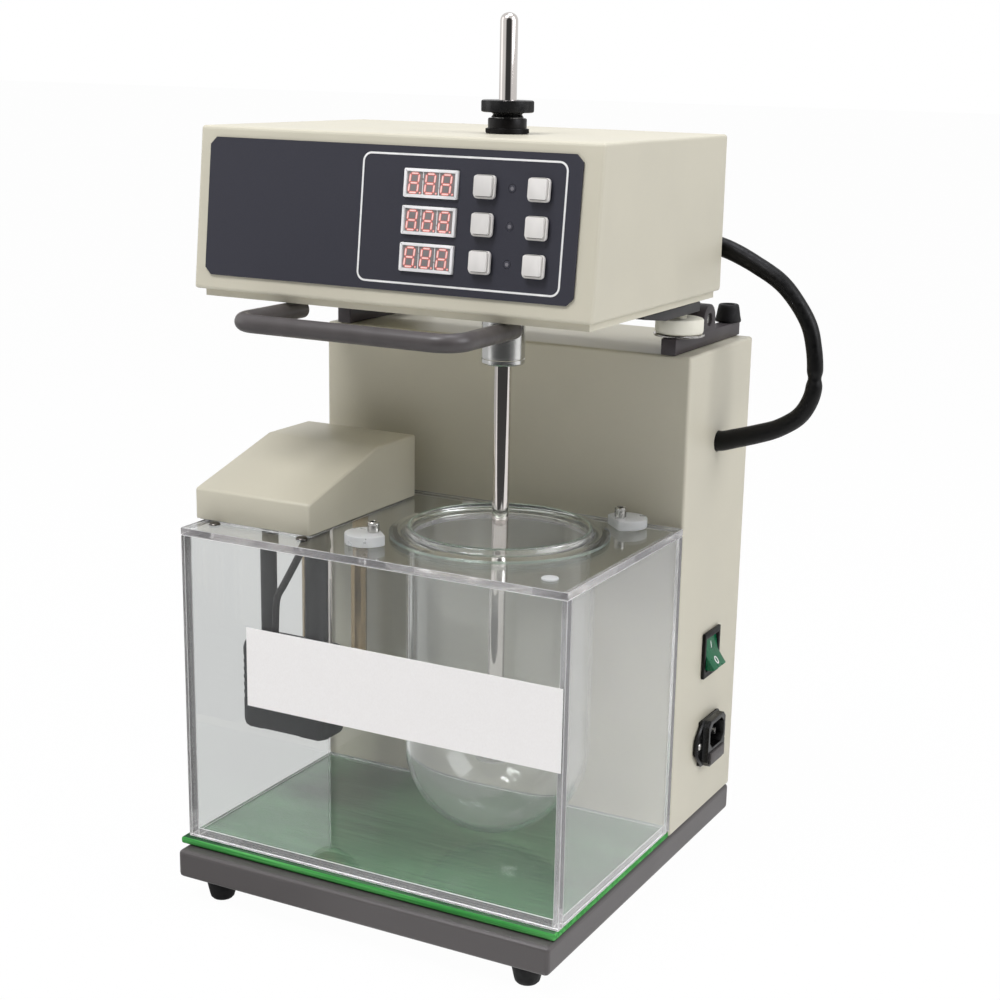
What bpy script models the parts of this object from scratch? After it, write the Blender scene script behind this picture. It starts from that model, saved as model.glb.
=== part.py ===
"""Tablet dissolution tester: a tray with a column, a water bath with a glass vessel, and a tilting drive head.

X runs to the right, Y to the back and Z up. The origin is on the surface that the feet stand on, in the middle
of the object without its cable sleeve.
"""

from math import acos, atan2, cos, hypot, pi, radians, sin

import bmesh
import bpy
from mathutils import Matrix, Vector

MM = 0.001

# Gaps
CLEARANCE = 0.3 * MM
SLACK = 0.15 * MM
OVERRUN = 4 * MM
WELD = 0.01 * MM

# Tray and feet
TRAY_WIDTH = 250 * MM
TRAY_DEPTH = 266 * MM
TRAY_HEIGHT = 17.4 * MM
TRAY_WALL = 1.5 * MM
TRAY_LIP = 36 * MM
TRAY_CORNER = 2.5 * MM
FOOT_HEIGHT = 15 * MM
FOOT_TOP_RADIUS = 9.7 * MM
FOOT_SOLE_RADIUS = 7.2 * MM
FOOT_ROUNDING = 2.5 * MM
FOOT_INSET = 20.5 * MM
FOOT_SETBACK = 16 * MM

# Bath mat
MAT_THICKNESS = 4.3 * MM
MAT_SETBACK = 8 * MM
MAT_OVERHANG = 4 * MM
MAT_ROUNDING = 1 * MM

# Column
COLUMN_SHARE = 0.6214
COLUMN_HEIGHT = 299.5 * MM
COLUMN_WALL = 1.5 * MM
COLUMN_CORNER = 1.8 * MM
COLUMN_RETURN = 9 * MM
BACK_COVER_THICKNESS = 1.5 * MM
VENT_COUNT = 5
VENT_WIDTH = 60 * MM
VENT_HEIGHT = 4 * MM
VENT_PITCH = 10 * MM
VENT_RISE = 40 * MM

# Power supply inside the column
BOARD_THICKNESS = 1.6 * MM
SUPPLY_WIDTH = 110 * MM
SUPPLY_HEIGHT = 80 * MM
SUPPLY_FROM_LEFT = 40 * MM
SUPPLY_RISE = 70 * MM
POST_RADIUS = 3 * MM
POST_LENGTH = 8 * MM
POST_INSET = 7 * MM
CORE_WIDTH = 56 * MM
CORE_HEIGHT = 48 * MM
CORE_DEPTH = 26 * MM
WINDING_WIDTH = 30 * MM
WINDING_HEIGHT = 60 * MM
WINDING_DEPTH = 36 * MM

# Mains inlet and fuse drawer, on the column's right side
INLET_WIDTH = 47 * MM
INLET_HEIGHT = 31 * MM
INLET_CHAMFER = 10.5 * MM
INLET_FLANGE = 2.7 * MM
INLET_RAISE = 4 * MM
INLET_RAISE_WIDTH = 28 * MM
INLET_RAISE_HEIGHT = 30.4 * MM
INLET_RAISE_CORNER = 3.5 * MM
INLET_EDGE = 0.9 * MM
INLET_FROM_BACK = 45 * MM
INLET_RISE = 48 * MM
INLET_BODY_WIDTH = 30 * MM
INLET_BODY_HEIGHT = 29 * MM
INLET_BODY_DEPTH = 26 * MM
SOCKET_WIDTH = 23 * MM
SOCKET_HEIGHT = 16 * MM
SOCKET_DEPTH = 17 * MM
SOCKET_RISE = 4.5 * MM
SOCKET_CORNER = 4 * MM
PIN_WIDTH = 2 * MM
PIN_HEIGHT = 4 * MM
PIN_LENGTH = 13 * MM
PIN_SPACING = 7 * MM
PIN_STEP = 2 * MM
FUSE_WIDTH = 22.4 * MM
FUSE_HEIGHT = 7.4 * MM
FUSE_DEPTH = 20 * MM
FUSE_FACE = 1.2 * MM
FUSE_DROP = 9.9 * MM

# Rocker switch, above the inlet
SWITCH_WIDTH = 25.6 * MM
SWITCH_HEIGHT = 29.6 * MM
SWITCH_FLANGE = 2 * MM
SWITCH_RISE = 106.6 * MM
SWITCH_FROM_BACK = 48.4 * MM
SWITCH_BODY_WIDTH = 22.6 * MM
SWITCH_BODY_HEIGHT = 26.6 * MM
SWITCH_BODY_DEPTH = 22 * MM
ROCKER_WIDTH = 19.5 * MM
ROCKER_HEIGHT = 20.5 * MM
ROCKER_ROOT = 6 * MM
ROCKER_ROOT_HEIGHT = 15 * MM
ROCKER_END = 2.0222 * MM
ROCKER_MIDDLE = -0.2 * MM
ROCKER_TILT_DEG = 23

# Hinge blocks on the column's top
HINGE_FROM_SIDE = 9 * MM
HINGE_BLOCK_WIDTH = 9.5 * MM
HINGE_BLOCK_SETBACK = 1.9 * MM
HINGE_BAR_HEIGHT = 9.6 * MM
HINGE_TAIL_HEIGHT = 8.6 * MM
HINGE_EAR_RADIUS = 9.4 * MM
HINGE_SHARE = 0.5084
HINGE_RISE = 15.3 * MM
HINGE_PIN_RADIUS = 3.5 * MM
PIN_RECESS = 1.5 * MM
PAD_RADIUS = 14.2 * MM
PAD_HEIGHT = 9.2 * MM
PAD_ROUNDING = 1.4 * MM
PAD_NUB_RADIUS = 4 * MM
PAD_NUB = 3.3 * MM
PAD_SHARE = 0.134
WASHER_RADIUS = 15 * MM
WASHER_THICKNESS = 1.3 * MM
STOP_RADIUS = 8 * MM
STOP_HEIGHT = 10.9 * MM
STOP_CHAMFER = 1.6 * MM
STOP_BORE = 4 * MM
STOP_BORE_DEPTH = 4 * MM
STOP_FROM_BACK = 8.7 * MM

# Head: base plate, cover and hinge arms
HEAD_GAP = 30.3 * MM
HEAD_PLATE_THICKNESS = 4 * MM
HEAD_PLATE_INSET = 4 * MM
HEAD_PLATE_SETBACK = 6 * MM
HEAD_PLATE_BACK_INSET = 1.2 * MM
HEAD_SETBACK_SHARE = 0.1128
HEAD_DEPTH_SHARE = 0.66353
HEAD_RAKE = 10.4 * MM
HEAD_HEIGHT = 90 * MM
HEAD_WALL = 1.6 * MM
HEAD_LIP = 12 * MM
HEAD_CORNER = 1.8 * MM
ARM_WIDTH = 28.3 * MM
ARM_EAR_WIDTH = 13.5 * MM
ARM_LENGTH = 109.5 * MM
ARM_NOSE = 1.6 * MM
ARM_SLOPE = 30 * MM
ARM_EAR_RADIUS = 9 * MM
ARM_STEP_BACK = 3 * MM
ARM_SHELF_BACK = 29 * MM

# Carry handle
HANDLE_RADIUS = 5 * MM
HANDLE_REACH = 17 * MM
HANDLE_SPAN = 135.5 * MM
HANDLE_OFFSET = 1.3 * MM
HANDLE_BEND = 13 * MM
HANDLE_GRIP_END = 52 * MM
HANDLE_BEND_POINTS = 5

# Where the shaft and the vessel stand
SHAFT_LEFT_SHARE = 0.6592
SHAFT_FRONT_SHARE = 0.35714

# Front panel, measured along the raked front from the cover's lower left corner
OVERLAY_LEFT = 8 * MM
OVERLAY_RIGHT = TRAY_WIDTH - 11 * MM
OVERLAY_BOTTOM = 8.5 * MM
OVERLAY_TOP = 84.5 * MM
OVERLAY_CUT = 4 * MM
OVERLAY_THICKNESS = 0.8 * MM
PANEL_ROWS = 3
ROW_PITCH = 19.3 * MM
ROW_FIRST = 27 * MM
DISPLAY_LEFT = TRAY_WIDTH - 114.3 * MM
DISPLAY_WIDTH = 32.3 * MM
DISPLAY_HEIGHT = 15 * MM
DISPLAY_PROUD = 1.6 * MM
DISPLAY_RECESS = 1 * MM
DISPLAY_BEZEL = 2 * MM
BUTTON_COLUMNS = (TRAY_WIDTH - 65.2 * MM, TRAY_WIDTH - 33.7 * MM)
BUTTON_WIDTH = 12.2 * MM
BUTTON_CORNER = 3 * MM
BUTTON_CAP = 3.4 * MM
BUTTON_STEM = 6 * MM
BUTTON_TRAVEL = 1 * MM
LAMP_COLUMN = TRAY_WIDTH - 50.4 * MM
LAMP_RADIUS = 2 * MM
LAMP_PROUD = 0.8 * MM
LAMP_STRIP = 2 * MM
PANEL_BOARD_DEPTH = 12 * MM
PANEL_BOARD_LEFT = TRAY_WIDTH - 130 * MM
PANEL_BOARD_RIGHT = TRAY_WIDTH - 18 * MM
PANEL_BOARD_BOTTOM = 14 * MM
PANEL_BOARD_TOP = 78 * MM
SWITCH_PAD = 7 * MM
SWITCH_PAD_HEIGHT = 4 * MM

# Drive in the head
SPINDLE_RADIUS = 7.5 * MM
SPINDLE_PULLEY_RADIUS = 24 * MM
MOTOR_PULLEY_RADIUS = 12 * MM
PULLEY_WIDTH = 8 * MM
PULLEY_FLANGE = 1.2 * MM
PULLEY_RIM = 2 * MM
BELT_THICKNESS = 1.5 * MM
BELT_RISE = 62 * MM
MOTOR_RADIUS = 21 * MM
MOTOR_HEIGHT = 46 * MM
MOTOR_FLANGE = 26 * MM
MOTOR_FLANGE_THICKNESS = 4 * MM
MOTOR_SHAFT_RADIUS = 3 * MM
MOTOR_FROM_LEFT = 75 * MM
MOTOR_FROM_FRONT = 112 * MM
HOUSING_RADIUS = 12.3 * MM
HOUSING_DROP = 32 * MM
HOUSING_FLANGE_RADIUS = 21 * MM
HOUSING_FLANGE = 5 * MM
CAP_FLANGE_RADIUS = 11.9 * MM
CAP_FLANGE = 2.5 * MM
CAP_RADIUS = 10.6 * MM
CAP_RISE = 8 * MM
CAP_SHANK_RADIUS = 9.6 * MM
CAP_SHANK = 6 * MM
NUT_NECK_RADIUS = 8.9 * MM
NUT_NECK = 2.6 * MM
NUT_RADIUS = 14.4 * MM
NUT_HEIGHT = 6.8 * MM
NUT_CROWN = 1.8 * MM
NUT_EDGE = 0.6 * MM

# Stirring shaft and basket
SHAFT_RADIUS = 4.85 * MM
SHAFT_RISE = 505.4 * MM
SHAFT_ROUNDING = 2 * MM
BASKET_RISE = 79 * MM
BASKET_RADIUS = 11.1 * MM
BASKET_HEIGHT = 35 * MM
BASKET_WALL = 0.8 * MM
BASKET_RIM_RADIUS = 12.5 * MM
BASKET_RIM = 3 * MM
BASKET_CAP = 3 * MM
BASKET_BOSS_RADIUS = 7 * MM
BASKET_BOSS = 9 * MM

# Bath tank, lid and instruction plate
BATH_SETBACK = 11.5 * MM
BATH_HEIGHT = 188.7 * MM
BATH_WALL = 5 * MM
LID_THICKNESS = 4 * MM
LID_CUT_LEFT = 10 * MM
LID_CUT_RIGHT = 74 * MM
LID_CUT_SHARES = (0.126, 0.5263)
PEG_RADIUS = 4.7 * MM
PEG_HEIGHT = 1.2 * MM
REAR_PEG = (-50.3 * MM, 54.4 * MM)
FRONT_PEG = (65.9 * MM, -66.1 * MM)
PLATE_LEFT = 45.7 * MM
PLATE_RIGHT = TRAY_WIDTH - 1 * MM
PLATE_BASE = 115 * MM
PLATE_HEIGHT = 47.6 * MM
PLATE_THICKNESS = 0.4 * MM

# Vessel and cams
VESSEL_SHARE = 0.19925
VESSEL_WALL = 3 * MM
VESSEL_DEPTH = 181 * MM
VESSEL_FLANGE_SHARE = 0.2406
VESSEL_FLANGE = 6 * MM
VESSEL_HOLE_GAP = 1.5 * MM
CAM_SHARE = 0.047
CAM_THROW_SHARE = 0.015
CAM_FLAT_SHARE = 0.0169
CAM_REACH_SHARE = 0.28
CAM_HEIGHT = 5.8 * MM
CAM_ANGLES_DEG = (224.7, 46.1)
CAM_SCREW_RADIUS = 2.5 * MM
CAM_SCREW_HEAD_RADIUS = 3.4 * MM
CAM_SCREW_HEAD = 6.5 * MM
CAM_SOCKET_RADIUS = 1.8 * MM
CAM_SOCKET_DEPTH = 3.5 * MM

# Heater and circulator unit
HEATER_WIDTH_SHARE = 0.32
HEATER_OVERHANG = 4 * MM
HEATER_SETBACK_SHARE = 0.1165
HEATER_DEPTH_SHARE = 0.4417
HEATER_LOW = 19 * MM
HEATER_HIGH = 39.5 * MM
HEATER_SLOPE = 74 * MM
HEATER_WALL = 1.5 * MM
HEATER_ROUNDING = 1.6 * MM
HEATER_PLATE_THICKNESS = 1.5 * MM
PUMP_FROM_LEFT = 5.4 * MM
PUMP_SHARE = 0.2256
PUMP_WIDTH = 61.2 * MM
PUMP_DEPTH = 27 * MM
PUMP_HEIGHT = 59 * MM
PUMP_RISE = 77.5 * MM
PUMP_ROUNDING = 6 * MM
PUMP_WALL = 2.5 * MM
PUMP_SLOTS = 6
PUMP_SLOT_HEIGHT = 2.4 * MM
PUMP_SLOT_PITCH = 5 * MM
PUMP_SLOT_RISE = 20 * MM
PUMP_SLOT_REACH = 12 * MM
IMPELLER_RADIUS = 9 * MM
IMPELLER_HUB = 3.2 * MM
IMPELLER_HEIGHT = 16 * MM
IMPELLER_DISC = 2 * MM
IMPELLER_BLADES = 4
IMPELLER_BLADE = 1.8 * MM
IMPELLER_RISE = 8 * MM
RISER_RADIUS = 5 * MM
RISER_PLACE = (19 * MM, 0.2744 * TRAY_DEPTH)
HANGER_RADIUS = 7 * MM
HANGER_PLACE = (51.5 * MM, 0.2857 * TRAY_DEPTH)
PROBE_RADIUS = 1.2 * MM
PROBE_PLACE = (68 * MM, 0.2481 * TRAY_DEPTH)
PROBE_RISE = 110 * MM
COIL_RADIUS = 5 * MM
COIL_PLACE = (60 * MM, 0.4135 * TRAY_DEPTH)
COIL_OTHER_PLACE = (19.5 * MM, 0.4361 * TRAY_DEPTH)
COIL_BOTTOM = 76 * MM
COIL_BEND_POINTS = 9
LEAD_RADIUS = 2.2 * MM

# Cable sleeve
SLEEVE_RADIUS = 6.2 * MM
SLEEVE_GAP = 0.4 * MM
SLEEVE_ENTRY = 3.5 * MM
SLEEVE_HEAD_FROM_RIGHT = 17 * MM
SLEEVE_HEAD_RISE = 27 * MM
SLEEVE_COLUMN_FROM_BACK = 51.3 * MM
SLEEVE_COLUMN_DROP = 57.6 * MM

# Planes and places worked out from the sizes above
ROCKER_TILT = radians(ROCKER_TILT_DEG)
ROCKER_PROUD = ROCKER_END * cos(ROCKER_TILT) + ROCKER_HEIGHT / 2 * sin(ROCKER_TILT)
ROCKER_REACH = CLEARANCE + SWITCH_FLANGE + ROCKER_PROUD
LEFT = (MAT_OVERHANG - TRAY_WIDTH - ROCKER_REACH) / 2
RIGHT = LEFT + TRAY_WIDTH
FRONT = (HANDLE_REACH - TRAY_DEPTH) / 2
BACK = FRONT + TRAY_DEPTH
TRAY_BASE = FOOT_HEIGHT
TRAY_TOP = TRAY_BASE + TRAY_HEIGHT
COLUMN_DEPTH = TRAY_DEPTH * (1 - COLUMN_SHARE)
COLUMN_FRONT = BACK - COLUMN_DEPTH
COLUMN_BASE = TRAY_TOP + CLEARANCE
COLUMN_TOP = COLUMN_BASE + COLUMN_HEIGHT
MAT_BASE = TRAY_TOP + CLEARANCE
MAT_TOP = MAT_BASE + MAT_THICKNESS
BATH_FRONT = FRONT + BATH_SETBACK
BATH_BACK = COLUMN_FRONT - CLEARANCE
BATH_BASE = MAT_TOP + CLEARANCE
BATH_RIM = BATH_BASE + BATH_HEIGHT
LID_BASE = BATH_RIM + CLEARANCE
LID_TOP = LID_BASE + LID_THICKNESS
HEAD_PLATE_BASE = COLUMN_TOP + HEAD_GAP
HEAD_PLATE_TOP = HEAD_PLATE_BASE + HEAD_PLATE_THICKNESS
HEAD_FRONT = FRONT + HEAD_SETBACK_SHARE * TRAY_DEPTH
HEAD_BACK = HEAD_FRONT + HEAD_DEPTH_SHARE * TRAY_DEPTH
HEAD_BASE = HEAD_PLATE_TOP + CLEARANCE
HEAD_TOP = HEAD_BASE + HEAD_HEIGHT
HEAD_FLOOR = HEAD_PLATE_TOP + CLEARANCE
RAKE_ANGLE = atan2(HEAD_RAKE, HEAD_HEIGHT)
SHAFT_X = LEFT + SHAFT_LEFT_SHARE * TRAY_WIDTH
SHAFT_Y = FRONT + SHAFT_FRONT_SHARE * TRAY_DEPTH
MOTOR_X = LEFT + MOTOR_FROM_LEFT
MOTOR_Y = FRONT + MOTOR_FROM_FRONT
BELT_Z = HEAD_FLOOR + BELT_RISE
HINGE_Y = BACK - HINGE_SHARE * COLUMN_DEPTH
HINGE_Z = COLUMN_TOP + CLEARANCE + HINGE_RISE
VESSEL_RADIUS = VESSEL_SHARE * TRAY_DEPTH
VESSEL_FLANGE_RADIUS = VESSEL_FLANGE_SHARE * TRAY_DEPTH
VESSEL_FLANGE_BASE = LID_TOP + CLEARANCE
CAM_RADIUS = CAM_SHARE * TRAY_DEPTH
CAM_THROW = CAM_THROW_SHARE * TRAY_DEPTH
CAM_FLAT = CAM_FLAT_SHARE * TRAY_DEPTH
CAM_REACH = CAM_REACH_SHARE * TRAY_DEPTH
SHAFT_BORE = SHAFT_RADIUS + CLEARANCE
SPINDLE_BORE = SPINDLE_RADIUS + CLEARANCE
CAP_BASE = HEAD_TOP + CLEARANCE
CAP_TOP = CAP_BASE + CAP_RISE
NUT_BASE = CAP_TOP + CLEARANCE
NUT_TOP = NUT_BASE + NUT_NECK + NUT_HEIGHT
SPINDLE_TOP = NUT_TOP - NUT_CROWN - CLEARANCE
HOUSING_BASE = HEAD_PLATE_BASE - HOUSING_DROP
SHAFT_TOP = TRAY_BASE + SHAFT_RISE
BASKET_BASE = TRAY_BASE + BASKET_RISE
BASKET_TOP = BASKET_BASE + BASKET_HEIGHT
HEATER_LEFT = LEFT - HEATER_OVERHANG
HEATER_RIGHT = HEATER_LEFT + HEATER_WIDTH_SHARE * TRAY_WIDTH
HEATER_FRONT = FRONT + HEATER_SETBACK_SHARE * TRAY_DEPTH
HEATER_BACK = HEATER_FRONT + HEATER_DEPTH_SHARE * TRAY_DEPTH
HEATER_BASE = LID_TOP + CLEARANCE
HEATER_PLATE_TOP = HEATER_BASE + HEATER_PLATE_THICKNESS
PUMP_X = LEFT + PUMP_FROM_LEFT + PUMP_WIDTH / 2
PUMP_Y = FRONT + PUMP_SHARE * TRAY_DEPTH + PUMP_DEPTH / 2
PUMP_BASE = TRAY_BASE + PUMP_RISE
PUMP_TOP = PUMP_BASE + PUMP_HEIGHT
INLET_Y = BACK - INLET_FROM_BACK
INLET_Z = TRAY_TOP + INLET_RISE
SWITCH_Y = BACK - SWITCH_FROM_BACK
SWITCH_Z = TRAY_TOP + SWITCH_RISE
RING_STEPS = 28
SMALL_STEPS = 20

UPRIGHT = Matrix.Identity(3)
FACING_RIGHT = Matrix(((0, 0, 1), (1, 0, 0), (0, 1, 0)))
FACING_FRONT = Matrix(((1, 0, 0), (0, 0, -1), (0, 1, 0)))


# Collections, materials and basic shapes
def new_collection(name):
    collection = bpy.data.collections.new(name)
    bpy.context.scene.collection.children.link(collection)
    return collection


def material(name, color, roughness, metallic=0.0, alpha=1.0):
    made = bpy.data.materials.new(name)
    made.use_nodes = True
    shader = made.node_tree.nodes["Principled BSDF"]
    shader.inputs["Base Color"].default_value = (*color, 1)
    shader.inputs["Roughness"].default_value = roughness
    shader.inputs["Metallic"].default_value = metallic
    shader.inputs["Alpha"].default_value = alpha
    made.diffuse_color = (*color, alpha)
    return made


def add_object(name, data, look, place=(0, 0, 0), facing=UPRIGHT):
    made = bpy.data.objects.new(name, data)
    PARTS.objects.link(made)
    made.matrix_world = Matrix.Translation(place) @ facing.to_4x4()
    if look and not data.materials:
        data.materials.append(look)
    return made


def bevel(made, width, segments=2, limit_deg=40):
    rounding = made.modifiers.new("rounding", "BEVEL")
    rounding.width = width
    rounding.segments = segments
    rounding.limit_method = "ANGLE"
    rounding.angle_limit = radians(limit_deg)
    rounding.harden_normals = False
    return made


def block(name, low, high, look=None, rounding=0.0, segments=2):
    """A box between two corners, with its origin in its middle."""
    low, high = Vector(low), Vector(high)
    mesh = bpy.data.meshes.new(name)
    shape = bmesh.new()
    bmesh.ops.create_cube(shape, size=1)
    bmesh.ops.scale(shape, vec=high - low, verts=shape.verts)
    shape.to_mesh(mesh)
    shape.free()
    made = add_object(name, mesh, look, (low + high) / 2)
    return bevel(made, rounding, segments) if rounding else made


def turned(name, profile, place, look=None, steps=RING_STEPS, facing=UPRIGHT, closed=False):
    """A profile of (radius, height) points, from the top down its outer side, turned about its axis."""
    mesh = bpy.data.meshes.new(name)
    shape = bmesh.new()
    points = [shape.verts.new((radius, 0, height)) for radius, height in profile]
    for first, second in zip(points, points[1:]):
        shape.edges.new((first, second))
    if closed:
        shape.edges.new((points[-1], points[0]))
    shape.to_mesh(mesh)
    shape.free()
    made = add_object(name, mesh, look, place, facing)
    spin = made.modifiers.new("turn", "SCREW")
    spin.steps = spin.render_steps = steps
    spin.use_merge_vertices = True
    spin.merge_threshold = WELD
    return made


def disc(name, radius, low, high, place, look=None, steps=RING_STEPS, facing=UPRIGHT):
    profile = [(0, high), (radius, high), (radius, low), (0, low)]
    return turned(name, profile, place, look, steps, facing)


def meshed(curve_object):
    """The mesh of a curve object, with its caps joined to its sides, in place of the curve."""
    bpy.context.view_layer.update()
    graph = bpy.context.evaluated_depsgraph_get()
    mesh = bpy.data.meshes.new_from_object(curve_object.evaluated_get(graph))
    shape = bmesh.new()
    shape.from_mesh(mesh)
    bmesh.ops.remove_doubles(shape, verts=shape.verts, dist=WELD)
    bmesh.ops.dissolve_limit(shape, angle_limit=radians(0.5), verts=shape.verts, edges=shape.edges)
    bmesh.ops.recalc_face_normals(shape, faces=shape.faces)
    shape.to_mesh(mesh)
    shape.free()
    name = curve_object.name
    look = curve_object.data.materials[0] if curve_object.data.materials else None
    world = curve_object.matrix_world.copy()
    curve = curve_object.data
    bpy.data.objects.remove(curve_object)
    bpy.data.curves.remove(curve)
    mesh.name = name
    mesh.materials.clear()
    made = add_object(name, mesh, look)
    made.matrix_world = world
    return made


def plate(name, outlines, thickness, place, facing, look=None):
    """Flat outlines, the inner ones being holes, with half of the thickness on each side of their plane."""
    curve = bpy.data.curves.new(name, "CURVE")
    curve.dimensions = "2D"
    curve.fill_mode = "BOTH"
    curve.extrude = thickness / 2
    for outline in outlines:
        spline = curve.splines.new("POLY")
        spline.points.add(len(outline) - 1)
        for point, (across, up) in zip(spline.points, outline):
            point.co = (across, up, 0, 1)
        spline.use_cyclic_u = True
    return meshed(add_object(name, curve, look, place, facing))


def tube(name, points, radius, look=None, resolution=2):
    """A round bar along a route."""
    curve = bpy.data.curves.new(name, "CURVE")
    curve.dimensions = "3D"
    curve.bevel_depth = radius
    curve.bevel_resolution = resolution
    curve.use_fill_caps = True
    spline = curve.splines.new("POLY")
    spline.points.add(len(points) - 1)
    for point, place in zip(spline.points, points):
        point.co = (*place, 1)
    return meshed(add_object(name, curve, look))


def rectangle(low_x, low_y, high_x, high_y):
    return [(low_x, low_y), (high_x, low_y), (high_x, high_y), (low_x, high_y)]


def chamfered(width, height, cut):
    """A rectangle about the origin with its four corners cut off."""
    x, y = width / 2, height / 2
    return [
        (cut - x, -y), (x - cut, -y), (x, cut - y), (x, y - cut),
        (x - cut, y), (cut - x, y), (-x, y - cut), (-x, cut - y),
    ]


def arc(centre, radius, start_deg, end_deg, points):
    """Points along an arc, both ends included."""
    angles = [radians(start_deg + (end_deg - start_deg) * i / (points - 1)) for i in range(points)]
    return [(centre[0] + radius * cos(a), centre[1] + radius * sin(a)) for a in angles]


def combine(made, other, operation):
    change = made.modifiers.new(other.name, "BOOLEAN")
    change.operation = operation
    change.object = other
    PARTS.objects.unlink(other)
    CUTTERS.objects.link(other)
    other.hide_render = True
    other.display_type = "WIRE"
    return made


def cut(made, *cutters):
    for cutter in cutters:
        combine(made, cutter, "DIFFERENCE")
    return made


def join(made, *others):
    for other in others:
        combine(made, other, "UNION")
    return made


def smooth(made, limit_deg=30):
    made.data.shade_smooth()
    made.data.set_sharp_from_angle(angle=radians(limit_deg))
    return made


def ride_on(name, place, riders):
    """An empty on a joint's axis that carries the pieces which move there."""
    axis = bpy.data.objects.new(name, None)
    PARTS.objects.link(axis)
    axis.location = place
    bpy.context.view_layer.update()
    for rider in riders:
        rider.parent = axis
        rider.matrix_parent_inverse = axis.matrix_world.inverted()
    return axis


# Tray, feet and mat
def make_tray():
    tray = block("base_tray", (LEFT, FRONT, TRAY_BASE), (RIGHT, BACK, TRAY_TOP), DARK_PAINT, TRAY_CORNER, 3)
    inner = (LEFT + TRAY_WALL, FRONT + TRAY_WALL, TRAY_BASE + TRAY_WALL)
    cut(tray, block("tray_hollow", inner, (RIGHT - TRAY_WALL, BACK - TRAY_WALL, TRAY_TOP - TRAY_WALL)))
    low = (LEFT + TRAY_LIP, FRONT + TRAY_LIP, TRAY_BASE - OVERRUN)
    cut(tray, block("tray_opening", low, (RIGHT - TRAY_LIP, BACK - TRAY_LIP, TRAY_BASE + TRAY_WALL + SLACK)))
    for side, x in (("left", LEFT + FOOT_INSET), ("right", RIGHT - FOOT_INSET)):
        for end, y in (("front", FRONT + FOOT_SETBACK), ("rear", BACK - FOOT_SETBACK)):
            make_foot(f"foot_{end}_{side}", x, y)


def make_foot(name, x, y):
    top = FOOT_HEIGHT - CLEARANCE
    sole = arc((FOOT_SOLE_RADIUS - FOOT_ROUNDING, FOOT_ROUNDING), FOOT_ROUNDING, 0, -90, 3)
    smooth(turned(name, [(0, top), (FOOT_TOP_RADIUS, top), *sole, (0, 0)], (x, y, 0), RUBBER, SMALL_STEPS))


def make_mat():
    low = (LEFT - MAT_OVERHANG, FRONT + MAT_SETBACK, MAT_BASE)
    high = (RIGHT - CLEARANCE, COLUMN_FRONT - CLEARANCE, MAT_TOP)
    block("bath_mat", low, high, GREEN_FOAM, MAT_ROUNDING, 1)


# Column with its electrical parts
def make_column():
    low, high = (LEFT, COLUMN_FRONT, COLUMN_BASE), (RIGHT, BACK, COLUMN_TOP)
    shell = block("column_shell", low, high, BEIGE_PAINT, COLUMN_CORNER, 3)
    low = (LEFT + COLUMN_WALL, COLUMN_FRONT + COLUMN_WALL, COLUMN_BASE + COLUMN_WALL)
    high = (RIGHT - COLUMN_WALL, BACK - COLUMN_WALL, COLUMN_TOP - COLUMN_WALL)
    cut(shell, block("column_hollow", low, high))
    low = (LEFT + COLUMN_RETURN, BACK - COLUMN_WALL - SLACK, COLUMN_BASE + COLUMN_RETURN)
    high = (RIGHT - COLUMN_RETURN, BACK + OVERRUN, COLUMN_TOP - COLUMN_RETURN)
    cut(shell, block("column_access", low, high))
    wall = (RIGHT - COLUMN_WALL - OVERRUN, RIGHT + OVERRUN)
    for name, y, z, width, height in (
        ("inlet_window", INLET_Y, INLET_Z, INLET_BODY_WIDTH, INLET_BODY_HEIGHT),
        ("switch_window", SWITCH_Y, SWITCH_Z, SWITCH_BODY_WIDTH, SWITCH_BODY_HEIGHT),
    ):
        half_y, half_z = width / 2 + CLEARANCE, height / 2 + CLEARANCE
        cut(shell, block(name, (wall[0], y - half_y, z - half_z), (wall[1], y + half_y, z + half_z)))
    place = (RIGHT, BACK - SLEEVE_COLUMN_FROM_BACK, COLUMN_TOP - SLEEVE_COLUMN_DROP)
    radius, reach = SLEEVE_RADIUS + SLEEVE_GAP, COLUMN_WALL + OVERRUN
    entry = disc("sleeve_entry", radius, -reach, OVERRUN, place, steps=SMALL_STEPS, facing=FACING_RIGHT)
    cut(shell, entry)
    make_back_cover()
    make_power_supply()


def make_back_cover():
    inset = COLUMN_RETURN + CLEARANCE
    low = (LEFT + inset, BACK - BACK_COVER_THICKNESS, COLUMN_BASE + inset)
    high = (RIGHT - inset, BACK, COLUMN_TOP - inset)
    cover = block("column_back_cover", low, high, BEIGE_PAINT)
    middle = (LEFT + RIGHT) / 2
    for i in range(VENT_COUNT):
        z = COLUMN_BASE + VENT_RISE + VENT_PITCH * i
        low = (middle - VENT_WIDTH / 2, BACK - BACK_COVER_THICKNESS - OVERRUN, z)
        cut(cover, block(f"vent_{i}", low, (middle + VENT_WIDTH / 2, BACK + OVERRUN, z + VENT_HEIGHT)))


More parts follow.
